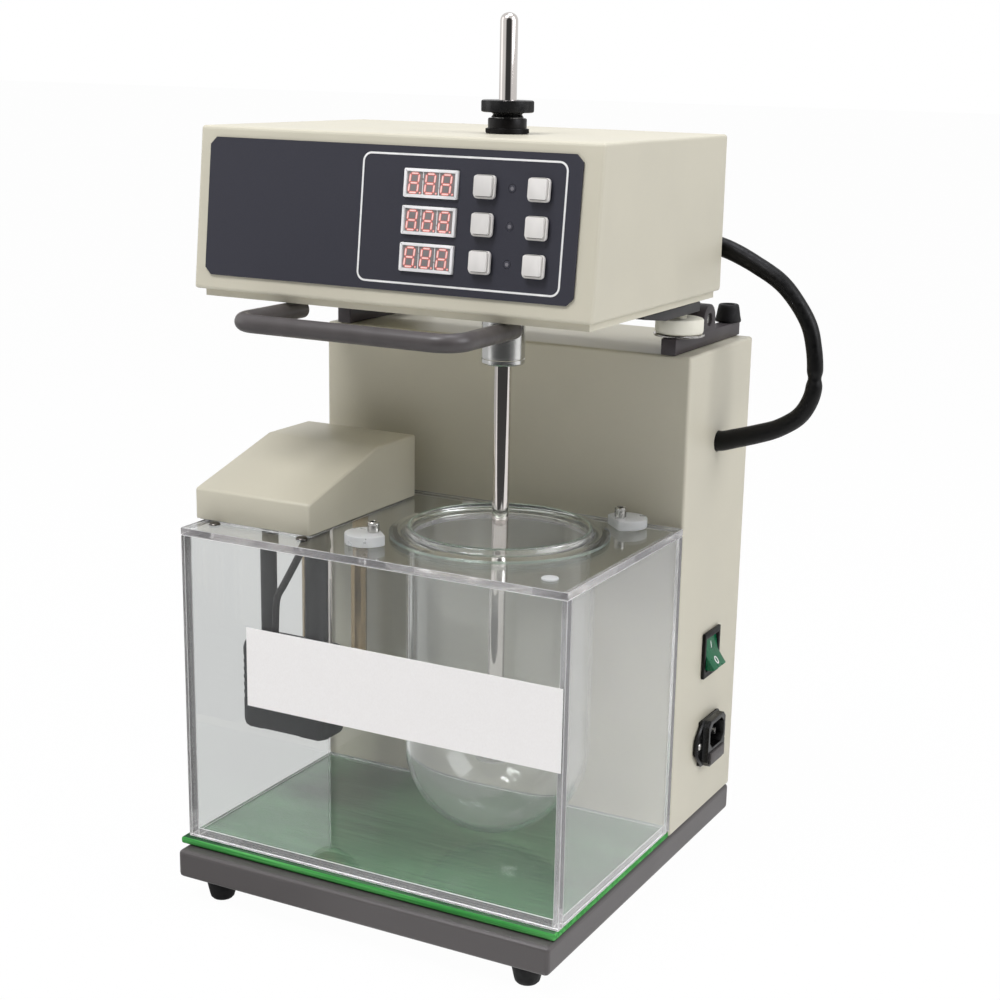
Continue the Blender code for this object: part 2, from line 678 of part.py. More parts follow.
def make_power_supply():
    """A board on four posts, with its transformer, behind the column's front wall."""
    left, low = LEFT + SUPPLY_FROM_LEFT, TRAY_TOP + SUPPLY_RISE
    front = COLUMN_FRONT + COLUMN_WALL + CLEARANCE
    board_y = front + POST_LENGTH
    board = block(
        "power_supply", (left, board_y, low),
        (left + SUPPLY_WIDTH, board_y + BOARD_THICKNESS, low + SUPPLY_HEIGHT), GREEN_BOARD,
    )
    for x in (left + POST_INSET, left + SUPPLY_WIDTH - POST_INSET):
        for z in (low + POST_INSET, low + SUPPLY_HEIGHT - POST_INSET):
            name = f"supply_post_{x:.3f}_{z:.3f}"
            place, reach = (x, front, z), POST_LENGTH + BOARD_THICKNESS / 2
            join(board, disc(name, POST_RADIUS, -reach, 0, place, steps=8, facing=FACING_FRONT))
    x, z = left + SUPPLY_WIDTH / 2, low + SUPPLY_HEIGHT / 2
    face = board_y + BOARD_THICKNESS / 2
    for name, width, height, depth in (
        ("transformer_core", CORE_WIDTH, CORE_HEIGHT, CORE_DEPTH),
        ("transformer_winding", WINDING_WIDTH, WINDING_HEIGHT, WINDING_DEPTH),
    ):
        low_corner = (x - width / 2, face, z - height / 2)
        join(board, block(name, low_corner, (x + width / 2, face + depth, z + height / 2)))


def make_inlet():
    """The mains inlet, with its socket above a fuse drawer, through the column's right wall."""
    place = (RIGHT + CLEARANCE, INLET_Y, INLET_Z)
    flange = chamfered(INLET_WIDTH, INLET_HEIGHT, INLET_CHAMFER)
    inlet = plate(
        "mains_inlet", [flange], INLET_FLANGE, (place[0] + INLET_FLANGE / 2, INLET_Y, INLET_Z), FACING_RIGHT,
        BLACK_PLASTIC,
    )
    bevel(inlet, INLET_EDGE, 1, 60)
    half_y, half_z = INLET_BODY_WIDTH / 2, INLET_BODY_HEIGHT / 2
    back = RIGHT - COLUMN_WALL - INLET_BODY_DEPTH
    middle = place[0] + INLET_FLANGE / 2
    low, high = (back, INLET_Y - half_y, INLET_Z - half_z), (middle, INLET_Y + half_y, INLET_Z + half_z)
    join(inlet, block("inlet_body", low, high))
    face = place[0] + INLET_FLANGE + INLET_RAISE
    outline = chamfered(INLET_RAISE_WIDTH, INLET_RAISE_HEIGHT, INLET_RAISE_CORNER)
    low, depth = middle - SLACK, face - middle + SLACK
    join(inlet, plate("inlet_raise", [outline], depth, (low + depth / 2, INLET_Y, INLET_Z), FACING_RIGHT))
    socket_z = INLET_Z + SOCKET_RISE
    outline = chamfered(SOCKET_WIDTH, SOCKET_HEIGHT, SOCKET_CORNER)
    depth = SOCKET_DEPTH + OVERRUN
    middle = face + OVERRUN - depth / 2
    cut(inlet, plate("socket_hollow", [outline], depth, (middle, INLET_Y, socket_z), FACING_RIGHT))
    floor = face - SOCKET_DEPTH
    for i, step in ((-1, -1), (0, 1), (1, -1)):
        y, z = INLET_Y + i * PIN_SPACING, socket_z + step * PIN_STEP
        low = (floor - SLACK, y - PIN_WIDTH / 2, z - PIN_HEIGHT / 2)
        join(inlet, block(f"inlet_pin_{i}", low, (floor + PIN_LENGTH, y + PIN_WIDTH / 2, z + PIN_HEIGHT / 2)))
    fuse_z = INLET_Z - FUSE_DROP
    half_y, half_z = FUSE_WIDTH / 2 + CLEARANCE, FUSE_HEIGHT / 2 + CLEARANCE
    low = (face - FUSE_DEPTH - CLEARANCE, INLET_Y - half_y, fuse_z - half_z)
    cut(inlet, block("fuse_slot", low, (face + OVERRUN, INLET_Y + half_y, fuse_z + half_z)))
    half_y, half_z = FUSE_WIDTH / 2, FUSE_HEIGHT / 2
    low = (face - FUSE_DEPTH, INLET_Y - half_y, fuse_z - half_z)
    drawer = block("fuse_drawer", low, (face + FUSE_FACE, INLET_Y + half_y, fuse_z + half_z), GREY_PLASTIC)
    ride_on("fuse_drawer_slide", (face, INLET_Y, fuse_z), [drawer])


def make_switch():
    """The rocker switch: a housing through the column's wall, and the rocker with its upper end pressed in."""
    face = RIGHT + CLEARANCE + SWITCH_FLANGE
    half_y, half_z = SWITCH_WIDTH / 2, SWITCH_HEIGHT / 2
    low = (RIGHT + CLEARANCE, SWITCH_Y - half_y, SWITCH_Z - half_z)
    housing = block("switch_housing", low, (face, SWITCH_Y + half_y, SWITCH_Z + half_z), BLACK_PLASTIC)
    half_y, half_z = SWITCH_BODY_WIDTH / 2, SWITCH_BODY_HEIGHT / 2
    low = (RIGHT - COLUMN_WALL - SWITCH_BODY_DEPTH, SWITCH_Y - half_y, SWITCH_Z - half_z)
    join(housing, block("switch_body", low, (face - SWITCH_FLANGE / 2, SWITCH_Y + half_y, SWITCH_Z + half_z)))
    half_y = ROCKER_WIDTH / 2 + CLEARANCE
    half_z = hypot(ROCKER_HEIGHT / 2, ROCKER_END) + CLEARANCE
    pocket = ROCKER_ROOT + ROCKER_ROOT_HEIGHT / 2 * sin(ROCKER_TILT) + CLEARANCE
    low = (face - pocket, SWITCH_Y - half_y, SWITCH_Z - half_z)
    cut(housing, block("switch_pocket", low, (face + OVERRUN, SWITCH_Y + half_y, SWITCH_Z + half_z)))
    tall, root = ROCKER_HEIGHT / 2, ROCKER_ROOT_HEIGHT / 2
    outline = [
        (-ROCKER_ROOT, -root), (0, -tall), (ROCKER_END, -tall), (ROCKER_MIDDLE, 0),
        (ROCKER_END, tall), (0, tall), (-ROCKER_ROOT, root),
    ]
    side_on = Matrix(((1, 0, 0), (0, 0, -1), (0, 1, 0)))
    tilt = Matrix.Rotation(-ROCKER_TILT, 3, "Y")
    place = (face, SWITCH_Y, SWITCH_Z)
    rocker = plate("power_rocker", [outline], ROCKER_WIDTH, place, tilt @ side_on, GREEN_PLASTIC)
    ride_on("power_rocker_pivot", place, [rocker])


# Hinges between the column and the head
def make_hinge(side, outer_x, inward):
    """One hinge. outer_x is the block's outer face, and inward is +1 or -1, towards the column's middle."""
    centre = outer_x + inward * HINGE_BLOCK_WIDTH / 2
    base = COLUMN_TOP + CLEARANCE
    front, back = COLUMN_FRONT - HINGE_BLOCK_SETBACK, BACK
    bar, tail = base + HINGE_BAR_HEIGHT, base + HINGE_TAIL_HEIGHT
    ear = arc((HINGE_Y, HINGE_Z), HINGE_EAR_RADIUS, 0, 180, 9)
    outline = [(front, base), (back, base), (back, tail), (HINGE_Y + HINGE_EAR_RADIUS, tail), *ear]
    outline += [(HINGE_Y - HINGE_EAR_RADIUS, bar), (front, bar)]
    hole = arc((HINGE_Y, HINGE_Z), HINGE_PIN_RADIUS + CLEARANCE, 0, 342, SMALL_STEPS)
    place, name = (centre, 0, 0), f"hinge_block_{side}"
    plate(name, [outline, hole], HINGE_BLOCK_WIDTH, place, FACING_RIGHT, HINGE_PAINT)

    ear_outer = outer_x + inward * (HINGE_BLOCK_WIDTH + CLEARANCE)
    ear_inner = ear_outer + inward * ARM_EAR_WIDTH
    reach = abs(ear_inner - outer_x) - 2 * PIN_RECESS
    pin_centre = outer_x + inward * (PIN_RECESS + reach / 2)
    pin = disc(
        f"hinge_pin_{side}", HINGE_PIN_RADIUS, -reach / 2, reach / 2, (pin_centre, HINGE_Y, HINGE_Z), STEEL,
        SMALL_STEPS, FACING_RIGHT,
    )
    smooth(pin)
    arm = make_hinge_arm(side, outer_x, inward, ear_outer, ear_inner)

    pad_y = COLUMN_FRONT + PAD_SHARE * COLUMN_DEPTH
    pad_x = centre
    washer = bar + CLEARANCE
    disc_base = washer + WASHER_THICKNESS
    top = disc_base + PAD_HEIGHT
    nub = top + PAD_NUB
    profile = [
        (0, nub), (PAD_NUB_RADIUS, nub), (PAD_NUB_RADIUS, top),
        (PAD_RADIUS - PAD_ROUNDING, top), (PAD_RADIUS, top - PAD_ROUNDING),
        (PAD_RADIUS, disc_base + PAD_ROUNDING), (PAD_RADIUS - PAD_ROUNDING, disc_base),
        (WASHER_RADIUS, disc_base), (WASHER_RADIUS, washer), (0, washer),
    ]
    smooth(turned(f"rest_pad_{side}", profile, (pad_x, pad_y, 0), NYLON))

    low, high = tail + CLEARANCE, tail + CLEARANCE + STOP_HEIGHT
    profile = [
        (0, high - STOP_BORE_DEPTH), (STOP_BORE, high - STOP_BORE_DEPTH), (STOP_BORE, high),
        (STOP_RADIUS - STOP_CHAMFER, high), (STOP_RADIUS, high - STOP_CHAMFER), (STOP_RADIUS, low), (0, low),
    ]
    turned(f"rubber_stop_{side}", profile, (centre, BACK - STOP_FROM_BACK, 0), RUBBER, 12)
    return [arm]


def make_hinge_arm(side, outer_x, inward, ear_outer, ear_inner):
    """The arm under the head: wide over the rest pad, narrow beside the hinge block, with an ear on a pin."""
    top = HEAD_PLATE_BASE - CLEARANCE
    pad_stack = HINGE_BAR_HEIGHT + WASHER_THICKNESS + PAD_HEIGHT + PAD_NUB
    pad_top = COLUMN_TOP + 3 * CLEARANCE + pad_stack
    step = HINGE_Y - HINGE_EAR_RADIUS - ARM_STEP_BACK
    nose = HINGE_Y - ARM_LENGTH
    centre = (ear_outer + ear_inner) / 2
    ear = arc((HINGE_Y, HINGE_Z), ARM_EAR_RADIUS, -90, 60, 7)
    outline = [(nose, top), (nose, top - ARM_NOSE), (nose + ARM_SLOPE, pad_top), (step, pad_top)]
    outline += [*ear, (HINGE_Y + ARM_EAR_RADIUS / 2, top)]
    hole = arc((HINGE_Y, HINGE_Z), HINGE_PIN_RADIUS + CLEARANCE, 0, 342, SMALL_STEPS)
    place, name = (centre, 0, 0), f"hinge_arm_{side}"
    arm = plate(name, [outline, hole], ARM_EAR_WIDTH, place, FACING_RIGHT, BLACK_PAINT)
    end = HINGE_Y - ARM_SHELF_BACK
    wide = [(nose, top), (nose, top - ARM_NOSE), (nose + ARM_SLOPE, pad_top), (end, pad_top), (end, top)]
    wide_outer = ear_inner - inward * ARM_WIDTH
    wide_centre = (wide_outer + centre) / 2
    width = abs(wide_outer - centre)
    join(arm, plate(f"arm_shelf_{side}", [wide], width, (wide_centre, 0, 0), FACING_RIGHT))
    return arm


# Head
def panel_frame():
    """The plane of the raked front: x to the right, y up along it and z out of it."""
    corner = Matrix.Translation((LEFT, HEAD_FRONT, HEAD_BASE))
    return corner @ Matrix.Rotation(pi / 2 - RAKE_ANGLE, 4, "X")


def on_panel(across, up, out=0.0):
    return panel_frame() @ Vector((across, up, out))


def panel_plate(name, outlines, low, high, look=None):
    """A plate on the raked front between two heights over it. Outlines are in the front's own measures."""
    middle = (low + high) / 2
    made = plate(name, outlines, high - low, (0, 0, 0), UPRIGHT, look)
    made.matrix_world = panel_frame() @ Matrix.Translation((0, 0, middle))
    return made


def row_height(row):
    return ROW_FIRST + ROW_PITCH * row


def square_about(across, up, width, grow=0.0):
    half = width / 2 + grow
    return rectangle(across - half, up - half, across + half, up + half)


def display_outline(row, grow=0.0):
    low = row_height(row) - DISPLAY_HEIGHT / 2
    return rectangle(
        DISPLAY_LEFT - grow, low - grow, DISPLAY_LEFT + DISPLAY_WIDTH + grow, low + DISPLAY_HEIGHT + grow
    )


def make_head_shell():
    plate_low = (LEFT + HEAD_PLATE_INSET, HEAD_FRONT + HEAD_PLATE_SETBACK, HEAD_PLATE_BASE)
    plate_high = (RIGHT - HEAD_PLATE_INSET, HEAD_BACK - HEAD_PLATE_BACK_INSET, HEAD_PLATE_TOP)
    base = block("head_base_plate", plate_low, plate_high, BEIGE_PAINT)
    place = (SHAFT_X, SHAFT_Y, 0)
    hole = HOUSING_RADIUS + CLEARANCE
    cut(base, disc("housing_hole", hole, HEAD_PLATE_BASE - OVERRUN, HEAD_PLATE_TOP + OVERRUN, place))

    middle = (LEFT + RIGHT) / 2
    top_front = (HEAD_FRONT + HEAD_RAKE, HEAD_TOP)
    outline = [(HEAD_FRONT, HEAD_BASE), (HEAD_BACK, HEAD_BASE), (HEAD_BACK, HEAD_TOP), top_front]
    cover = plate("head_cover", [outline], TRAY_WIDTH, (middle, 0, 0), FACING_RIGHT, BEIGE_PAINT)
    bevel(cover, HEAD_CORNER, 3)
    slant = HEAD_WALL / cos(RAKE_ANGLE)
    rake_share = HEAD_RAKE / HEAD_HEIGHT
    low, high = HEAD_BASE + HEAD_WALL, HEAD_TOP - HEAD_WALL
    inner = [
        (HEAD_FRONT + slant + rake_share * HEAD_WALL, low), (HEAD_BACK - HEAD_WALL, low),
        (HEAD_BACK - HEAD_WALL, high), (HEAD_FRONT + slant + rake_share * (HEAD_HEIGHT - HEAD_WALL), high),
    ]
    cut(cover, plate("head_hollow", [inner], TRAY_WIDTH - 2 * HEAD_WALL, (middle, 0, 0), FACING_RIGHT))
    low = (LEFT + HEAD_LIP, HEAD_FRONT + HEAD_LIP, HEAD_BASE - OVERRUN)
    high = (RIGHT - HEAD_LIP, HEAD_BACK - HEAD_LIP, HEAD_BASE + HEAD_WALL + SLACK)
    cut(cover, block("head_underside", low, high))
    reach = HEAD_WALL + OVERRUN
    windows = [display_outline(row, CLEARANCE) for row in range(PANEL_ROWS)]
    for row in range(PANEL_ROWS):
        for across in BUTTON_COLUMNS:
            windows.append(square_about(across, row_height(row), BUTTON_STEM, CLEARANCE))
        windows.append(arc((LAMP_COLUMN, row_height(row)), LAMP_RADIUS + CLEARANCE, 0, 324, 10))
    for i, window in enumerate(windows):
        cut(cover, panel_plate(f"panel_window_{i}", [window], -reach, OVERRUN))
    cap_hole = CAP_SHANK_RADIUS + CLEARANCE
    cut(cover, disc("cap_hole", cap_hole, HEAD_TOP - HEAD_WALL - OVERRUN, HEAD_TOP + OVERRUN, place))
    sleeve = (RIGHT - SLEEVE_HEAD_FROM_RIGHT, HEAD_BACK, HEAD_BASE + SLEEVE_HEAD_RISE)
    radius, reach = SLEEVE_RADIUS + SLEEVE_GAP, HEAD_WALL + OVERRUN
    exit_hole = disc("sleeve_exit", radius, -OVERRUN, reach, sleeve, steps=SMALL_STEPS, facing=FACING_FRONT)
    cut(cover, exit_hole)
    return [base, cover]


def make_handle():
    """A U-shaped bar ahead of the head, whose two ends lie under its base plate."""
    z = HEAD_PLATE_BASE - CLEARANCE - HANDLE_RADIUS
    centre = (LEFT + RIGHT) / 2 + HANDLE_OFFSET
    left, right = centre - HANDLE_SPAN / 2, centre + HANDLE_SPAN / 2
    front = FRONT - HANDLE_REACH + HANDLE_RADIUS
    back = FRONT + HANDLE_GRIP_END
    bend = front + HANDLE_BEND
    route = [(left, back), *arc((left + HANDLE_BEND, bend), HANDLE_BEND, 180, 270, HANDLE_BEND_POINTS)]
    route += [*arc((right - HANDLE_BEND, bend), HANDLE_BEND, 270, 360, HANDLE_BEND_POINTS), (right, back)]
    return smooth(tube("carry_handle", [(x, y, z) for x, y in route], HANDLE_RADIUS, GREY_GRIP, 3))


def make_panel():
    """The overlay, the display board behind it, the lamps and the six buttons."""
    cut_size = OVERLAY_CUT
    left, right, low, high = OVERLAY_LEFT, OVERLAY_RIGHT, OVERLAY_BOTTOM, OVERLAY_TOP
    outline = [
        (left + cut_size, low), (right - cut_size, low), (right, low + cut_size), (right, high - cut_size),
        (right - cut_size, high), (left + cut_size, high), (left, high - cut_size), (left, low + cut_size),
    ]
    holes = []
    for row in range(PANEL_ROWS):
        holes.append(display_outline(row, CLEARANCE))
        holes.append(arc((LAMP_COLUMN, row_height(row)), LAMP_RADIUS + CLEARANCE, 0, 324, 10))
        for across in BUTTON_COLUMNS:
            holes.append(square_about(across, row_height(row), BUTTON_STEM, CLEARANCE))
    face = CLEARANCE + OVERLAY_THICKNESS
    overlay = panel_plate("panel_overlay", [outline, *holes], CLEARANCE, face, DARK_OVERLAY)

    board_out = -HEAD_WALL - PANEL_BOARD_DEPTH
    outline = rectangle(PANEL_BOARD_LEFT, PANEL_BOARD_BOTTOM, PANEL_BOARD_RIGHT, PANEL_BOARD_TOP)
    board = panel_plate("display_board", [outline], board_out - BOARD_THICKNESS, board_out, WHITE_PLASTIC)
    for row in range(PANEL_ROWS):
        proud = face + DISPLAY_PROUD
        module = panel_plate(f"display_module_{row}", [display_outline(row)], board_out - SLACK, proud)
        join(board, module)
        window = display_outline(row, -DISPLAY_BEZEL)
        cut(board, panel_plate(f"display_window_{row}", [window], proud - DISPLAY_RECESS, proud + OVERRUN))
        for across in BUTTON_COLUMNS:
            pad = square_about(across, row_height(row), SWITCH_PAD)
            key_top = board_out + SWITCH_PAD_HEIGHT
            join(board, panel_plate(f"key_{row}_{across:.3f}", [pad], board_out - SLACK, key_top))

    strip_low = -HEAD_WALL - CLEARANCE - LAMP_STRIP
    first, last = row_height(0), row_height(PANEL_ROWS - 1)
    strip = rectangle(
        LAMP_COLUMN - LAMP_RADIUS, first - LAMP_RADIUS * 2, LAMP_COLUMN + LAMP_RADIUS, last + LAMP_RADIUS * 2
    )
    lamps = panel_plate("indicator_lamps", [strip], strip_low, strip_low + LAMP_STRIP, DARK_LENS)
    top = face + LAMP_PROUD
    start = strip_low + LAMP_STRIP / 2
    for row in range(PANEL_ROWS):
        profile = [(0, top), (LAMP_RADIUS / 2, top), (LAMP_RADIUS, top - LAMP_RADIUS / 2)]
        profile += [(LAMP_RADIUS, start), (0, start)]
        lamp = turned(f"lamp_{row}", profile, (0, 0, 0), steps=10)
        lamp.matrix_world = panel_frame() @ Matrix.Translation((LAMP_COLUMN, row_height(row), 0))
        join(lamps, lamp)

    buttons = []
    cap_low = face + CLEARANCE + BUTTON_TRAVEL
    stem_low = board_out + SWITCH_PAD_HEIGHT + CLEARANCE + BUTTON_TRAVEL
    for row, kind in enumerate(("time", "speed", "temperature")):
        for across, way in zip(BUTTON_COLUMNS, ("down", "up")):
            up = row_height(row)
            cap = chamfered(BUTTON_WIDTH, BUTTON_WIDTH, BUTTON_CORNER)
            cap = [(across + x, up + y) for x, y in cap]
            button = panel_plate(f"{kind}_{way}_button", [cap], cap_low, cap_low + BUTTON_CAP, GREY_BUTTON)
            stem = square_about(across, up, BUTTON_STEM)
            join(button, panel_plate(f"stem_{row}_{way}", [stem], stem_low, cap_low + BUTTON_CAP / 2))
            button_slide = ride_on(f"{kind}_{way}_button_slide", on_panel(across, up, cap_low), [button])
            buttons.append(button_slide)
    return [overlay, board, lamps, *buttons]


def belt_outline(first, first_radius, second, second_radius, points=17):
    """The outline of a belt round two pulleys, first on the left of second."""
    span = hypot(second[0] - first[0], second[1] - first[1])
    heading = atan2(second[1] - first[1], second[0] - first[0])
    spread = acos((first_radius - second_radius) / span)
    turn = [heading + spread + (2 * pi - 2 * spread) * i / (points - 1) for i in range(points)]
    outline = [(first[0] + first_radius * cos(a), first[1] + first_radius * sin(a)) for a in turn]
    turn = [heading - spread + 2 * spread * i / (points - 1) for i in range(points)]
    outline += [(second[0] + second_radius * cos(a), second[1] + second_radius * sin(a)) for a in turn]
    return outline


def pulley_profile(radius, bore_top, bottom, top, core):
    """A flanged pulley on a core, from the top down. The belt runs between its two flanges."""
    rim = radius + PULLEY_RIM
    low, high = bottom + PULLEY_FLANGE, top - PULLEY_FLANGE
    profile = [(core, top), (rim, top), (rim, high), (radius, high)]
    return [*profile, (radius, low), (rim, low), (rim, bottom), (core, bottom)]


def make_drive():
    """Motor, belt and spindle, with the bearings that carry the spindle."""
    low = BELT_Z
    high = BELT_Z + PULLEY_WIDTH + 2 * PULLEY_FLANGE + 2 * CLEARANCE
    shaft_place, motor_place = (SHAFT_X, SHAFT_Y, 0), (MOTOR_X, MOTOR_Y, 0)

    bore = SHAFT_BORE
    profile = [(bore, SPINDLE_TOP), (SPINDLE_RADIUS, SPINDLE_TOP)]
    profile += pulley_profile(SPINDLE_PULLEY_RADIUS, bore, low, high, SPINDLE_RADIUS)
    profile += [(SPINDLE_RADIUS, HOUSING_BASE), (bore, HOUSING_BASE)]
    spindle = smooth(turned("spindle", profile, shaft_place, STEEL, RING_STEPS, closed=True))

    housing_top = HEAD_PLATE_TOP + CLEARANCE + HOUSING_FLANGE
    seat = HEAD_PLATE_TOP + CLEARANCE
    profile = [
        (SPINDLE_BORE, housing_top), (HOUSING_FLANGE_RADIUS, housing_top), (HOUSING_FLANGE_RADIUS, seat),
        (HOUSING_RADIUS, seat), (HOUSING_RADIUS, HOUSING_BASE), (SPINDLE_BORE, HOUSING_BASE),
    ]
    housing = smooth(turned("lower_bearing_housing", profile, shaft_place, ALUMINIUM, closed=True))

    profile = [
        (SPINDLE_BORE, CAP_TOP), (CAP_RADIUS, CAP_TOP), (CAP_RADIUS, CAP_BASE + CAP_FLANGE),
        (CAP_FLANGE_RADIUS, CAP_BASE + CAP_FLANGE), (CAP_FLANGE_RADIUS, CAP_BASE),
        (CAP_SHANK_RADIUS, CAP_BASE), (CAP_SHANK_RADIUS, CAP_BASE - CAP_SHANK),
        (SPINDLE_BORE, CAP_BASE - CAP_SHANK),
    ]
    cap = smooth(turned("top_bearing_cap", profile, shaft_place, BLACK_PLASTIC, closed=True))

    neck = NUT_BASE + NUT_NECK
    profile = [
        (SHAFT_BORE, NUT_TOP), (NUT_RADIUS - NUT_EDGE, NUT_TOP), (NUT_RADIUS, NUT_TOP - NUT_EDGE),
        (NUT_RADIUS, neck + NUT_EDGE), (NUT_RADIUS - NUT_EDGE, neck), (NUT_NECK_RADIUS, neck),
        (NUT_NECK_RADIUS, NUT_BASE), (SPINDLE_BORE, NUT_BASE), (SPINDLE_BORE, NUT_TOP - NUT_CROWN),
        (SHAFT_BORE, NUT_TOP - NUT_CROWN),
    ]
    nut = smooth(turned("chuck_nut", profile, shaft_place, BLACK_PLASTIC, closed=True))

    motor_top = HEAD_FLOOR + MOTOR_FLANGE_THICKNESS + MOTOR_HEIGHT
    flange_top = HEAD_FLOOR + MOTOR_FLANGE_THICKNESS
    profile = [
        (0, motor_top), (MOTOR_RADIUS, motor_top), (MOTOR_RADIUS, flange_top), (MOTOR_FLANGE, flange_top),
        (MOTOR_FLANGE, HEAD_FLOOR), (0, HEAD_FLOOR),
    ]
    motor = smooth(turned("drive_motor", profile, motor_place, STEEL))

    axle_low = motor_top + CLEARANCE
    profile = [(0, high), *pulley_profile(MOTOR_PULLEY_RADIUS, 0, low, high, MOTOR_SHAFT_RADIUS)[1:-1]]
    profile += [(MOTOR_SHAFT_RADIUS, low), (MOTOR_SHAFT_RADIUS, axle_low), (0, axle_low)]
    motor_pulley = smooth(turned("motor_pulley", profile, motor_place, ALUMINIUM))

    first, second = (MOTOR_X, MOTOR_Y), (SHAFT_X, SHAFT_Y)
    inner = belt_outline(first, MOTOR_PULLEY_RADIUS + CLEARANCE, second, SPINDLE_PULLEY_RADIUS + CLEARANCE)
    grow = CLEARANCE + BELT_THICKNESS
    outer = belt_outline(first, MOTOR_PULLEY_RADIUS + grow, second, SPINDLE_PULLEY_RADIUS + grow)
    middle = (low + high) / 2
    belt = plate("drive_belt", [outer, inner], PULLEY_WIDTH, (0, 0, middle), UPRIGHT, RUBBER)
    shaft, basket = make_shaft()
    shaft_axis = ride_on("stir_shaft_slide", (SHAFT_X, SHAFT_Y, HOUSING_BASE), [shaft, basket])
    nut_axis = ride_on("chuck_nut_turn", (SHAFT_X, SHAFT_Y, NUT_BASE), [nut])
    spindle_axis = ride_on("spindle_turn", (SHAFT_X, SHAFT_Y, HEAD_TOP), [spindle, shaft_axis, nut_axis])
    motor_axis = ride_on("motor_pulley_turn", (MOTOR_X, MOTOR_Y, axle_low), [motor_pulley])
    return [housing, cap, motor, belt, spindle_axis, motor_axis]


def make_shaft():
    """The stirring shaft with the vented cap of its basket, and the basket."""
    place = (SHAFT_X, SHAFT_Y, 0)
    cap_low = BASKET_TOP + CLEARANCE
    cap_high = cap_low + BASKET_CAP
    boss = cap_high + BASKET_BOSS
    crown = arc((SHAFT_RADIUS - SHAFT_ROUNDING, SHAFT_TOP - SHAFT_ROUNDING), SHAFT_ROUNDING, 90, 0, 4)
    profile = [
        (0, SHAFT_TOP), *crown, (SHAFT_RADIUS, boss), (BASKET_BOSS_RADIUS, boss - BASKET_CAP),
        (BASKET_BOSS_RADIUS, cap_high), (BASKET_RIM_RADIUS, cap_high), (BASKET_RIM_RADIUS, cap_low),
        (0, cap_low),
    ]
    shaft = smooth(turned("stirring_shaft", profile, place, STEEL, SMALL_STEPS + 4))
    inner = BASKET_RADIUS - BASKET_WALL
    profile = [
        (0, BASKET_BASE + BASKET_WALL), (inner, BASKET_BASE + BASKET_WALL), (inner, BASKET_TOP),
        (BASKET_RIM_RADIUS, BASKET_TOP), (BASKET_RIM_RADIUS, BASKET_TOP - BASKET_RIM),
        (BASKET_RADIUS, BASKET_TOP - BASKET_RIM), (BASKET_RADIUS, BASKET_BASE), (0, BASKET_BASE),
    ]
    basket = smooth(turned("basket", profile, place, STEEL, SMALL_STEPS))
    return shaft, basket


# Bath
def make_bath():
    low, high = (LEFT, BATH_FRONT, BATH_BASE), (RIGHT, BATH_BACK, BATH_RIM)
    tank = block("bath_tank", low, high, CLEAR_ACRYLIC)
    inner = (LEFT + BATH_WALL, BATH_FRONT + BATH_WALL, BATH_BASE + BATH_WALL)
    cut(tank, block("bath_hollow", inner, (RIGHT - BATH_WALL, BATH_BACK - BATH_WALL, BATH_RIM + OVERRUN)))

    lid = block("bath_lid", (LEFT, BATH_FRONT, LID_BASE), (RIGHT, BATH_BACK, LID_TOP), CLEAR_ACRYLIC)
    front, back = (FRONT + share * TRAY_DEPTH for share in LID_CUT_SHARES)
    low = (LEFT + LID_CUT_LEFT, front, LID_BASE - OVERRUN)
    cut(lid, block("lid_cutout", low, (LEFT + LID_CUT_RIGHT, back, LID_TOP + OVERRUN)))
    hole = VESSEL_RADIUS + VESSEL_HOLE_GAP
    place = (SHAFT_X, SHAFT_Y, 0)
    cut(lid, disc("vessel_hole", hole, LID_BASE - OVERRUN, LID_TOP + OVERRUN, place, steps=40))
    for i, (across, back) in enumerate((REAR_PEG, FRONT_PEG)):
        peg_place = (SHAFT_X + across, SHAFT_Y + back, 0)
        low, high = LID_BASE + LID_THICKNESS / 2, LID_TOP + PEG_HEIGHT
        join(lid, disc(f"lid_peg_{i}", PEG_RADIUS, low, high, peg_place, steps=16))
    for x, y in cam_places():
        place = (x, y, 0)
        hole = CAM_SCREW_RADIUS + CLEARANCE
        cut(lid, disc(f"cam_hole_{x:.3f}", hole, LID_BASE - OVERRUN, LID_TOP + OVERRUN, place, steps=12))

    low = (LEFT + PLATE_LEFT, BATH_FRONT - CLEARANCE - PLATE_THICKNESS, TRAY_BASE + PLATE_BASE)
    high = (LEFT + PLATE_RIGHT, BATH_FRONT - CLEARANCE, TRAY_BASE + PLATE_BASE + PLATE_HEIGHT)
    block("instruction_plate", low, high, PAPER)


def cam_places():
    angles = [radians(a) for a in CAM_ANGLES_DEG]
    return [(SHAFT_X + CAM_REACH * cos(a), SHAFT_Y + CAM_REACH * sin(a)) for a in angles]


def make_vessel():
    """Glass, with a round bottom, a flange that rests on the lid, and an open mouth."""
    top = VESSEL_FLANGE_BASE + VESSEL_FLANGE
    centre = VESSEL_FLANGE_BASE - VESSEL_DEPTH + VESSEL_RADIUS
    inner = VESSEL_RADIUS - VESSEL_WALL
    outside = arc((0, centre), VESSEL_RADIUS, 0, -90, 7)
    inside = arc((0, centre), inner, -90, 0, 7)
    profile = [
        *inside[:-1], (inner, centre), (inner, top), (VESSEL_FLANGE_RADIUS, top),
        (VESSEL_FLANGE_RADIUS, VESSEL_FLANGE_BASE), (VESSEL_RADIUS, VESSEL_FLANGE_BASE), *outside,
    ]
    profile[0] = (0, centre - inner)
    profile[-1] = (0, centre - VESSEL_RADIUS)
    vessel = smooth(turned("vessel", profile, (SHAFT_X, SHAFT_Y, 0), GLASS, 40))
    ride_on("vessel_lift", (SHAFT_X, SHAFT_Y, VESSEL_FLANGE_BASE), [vessel])


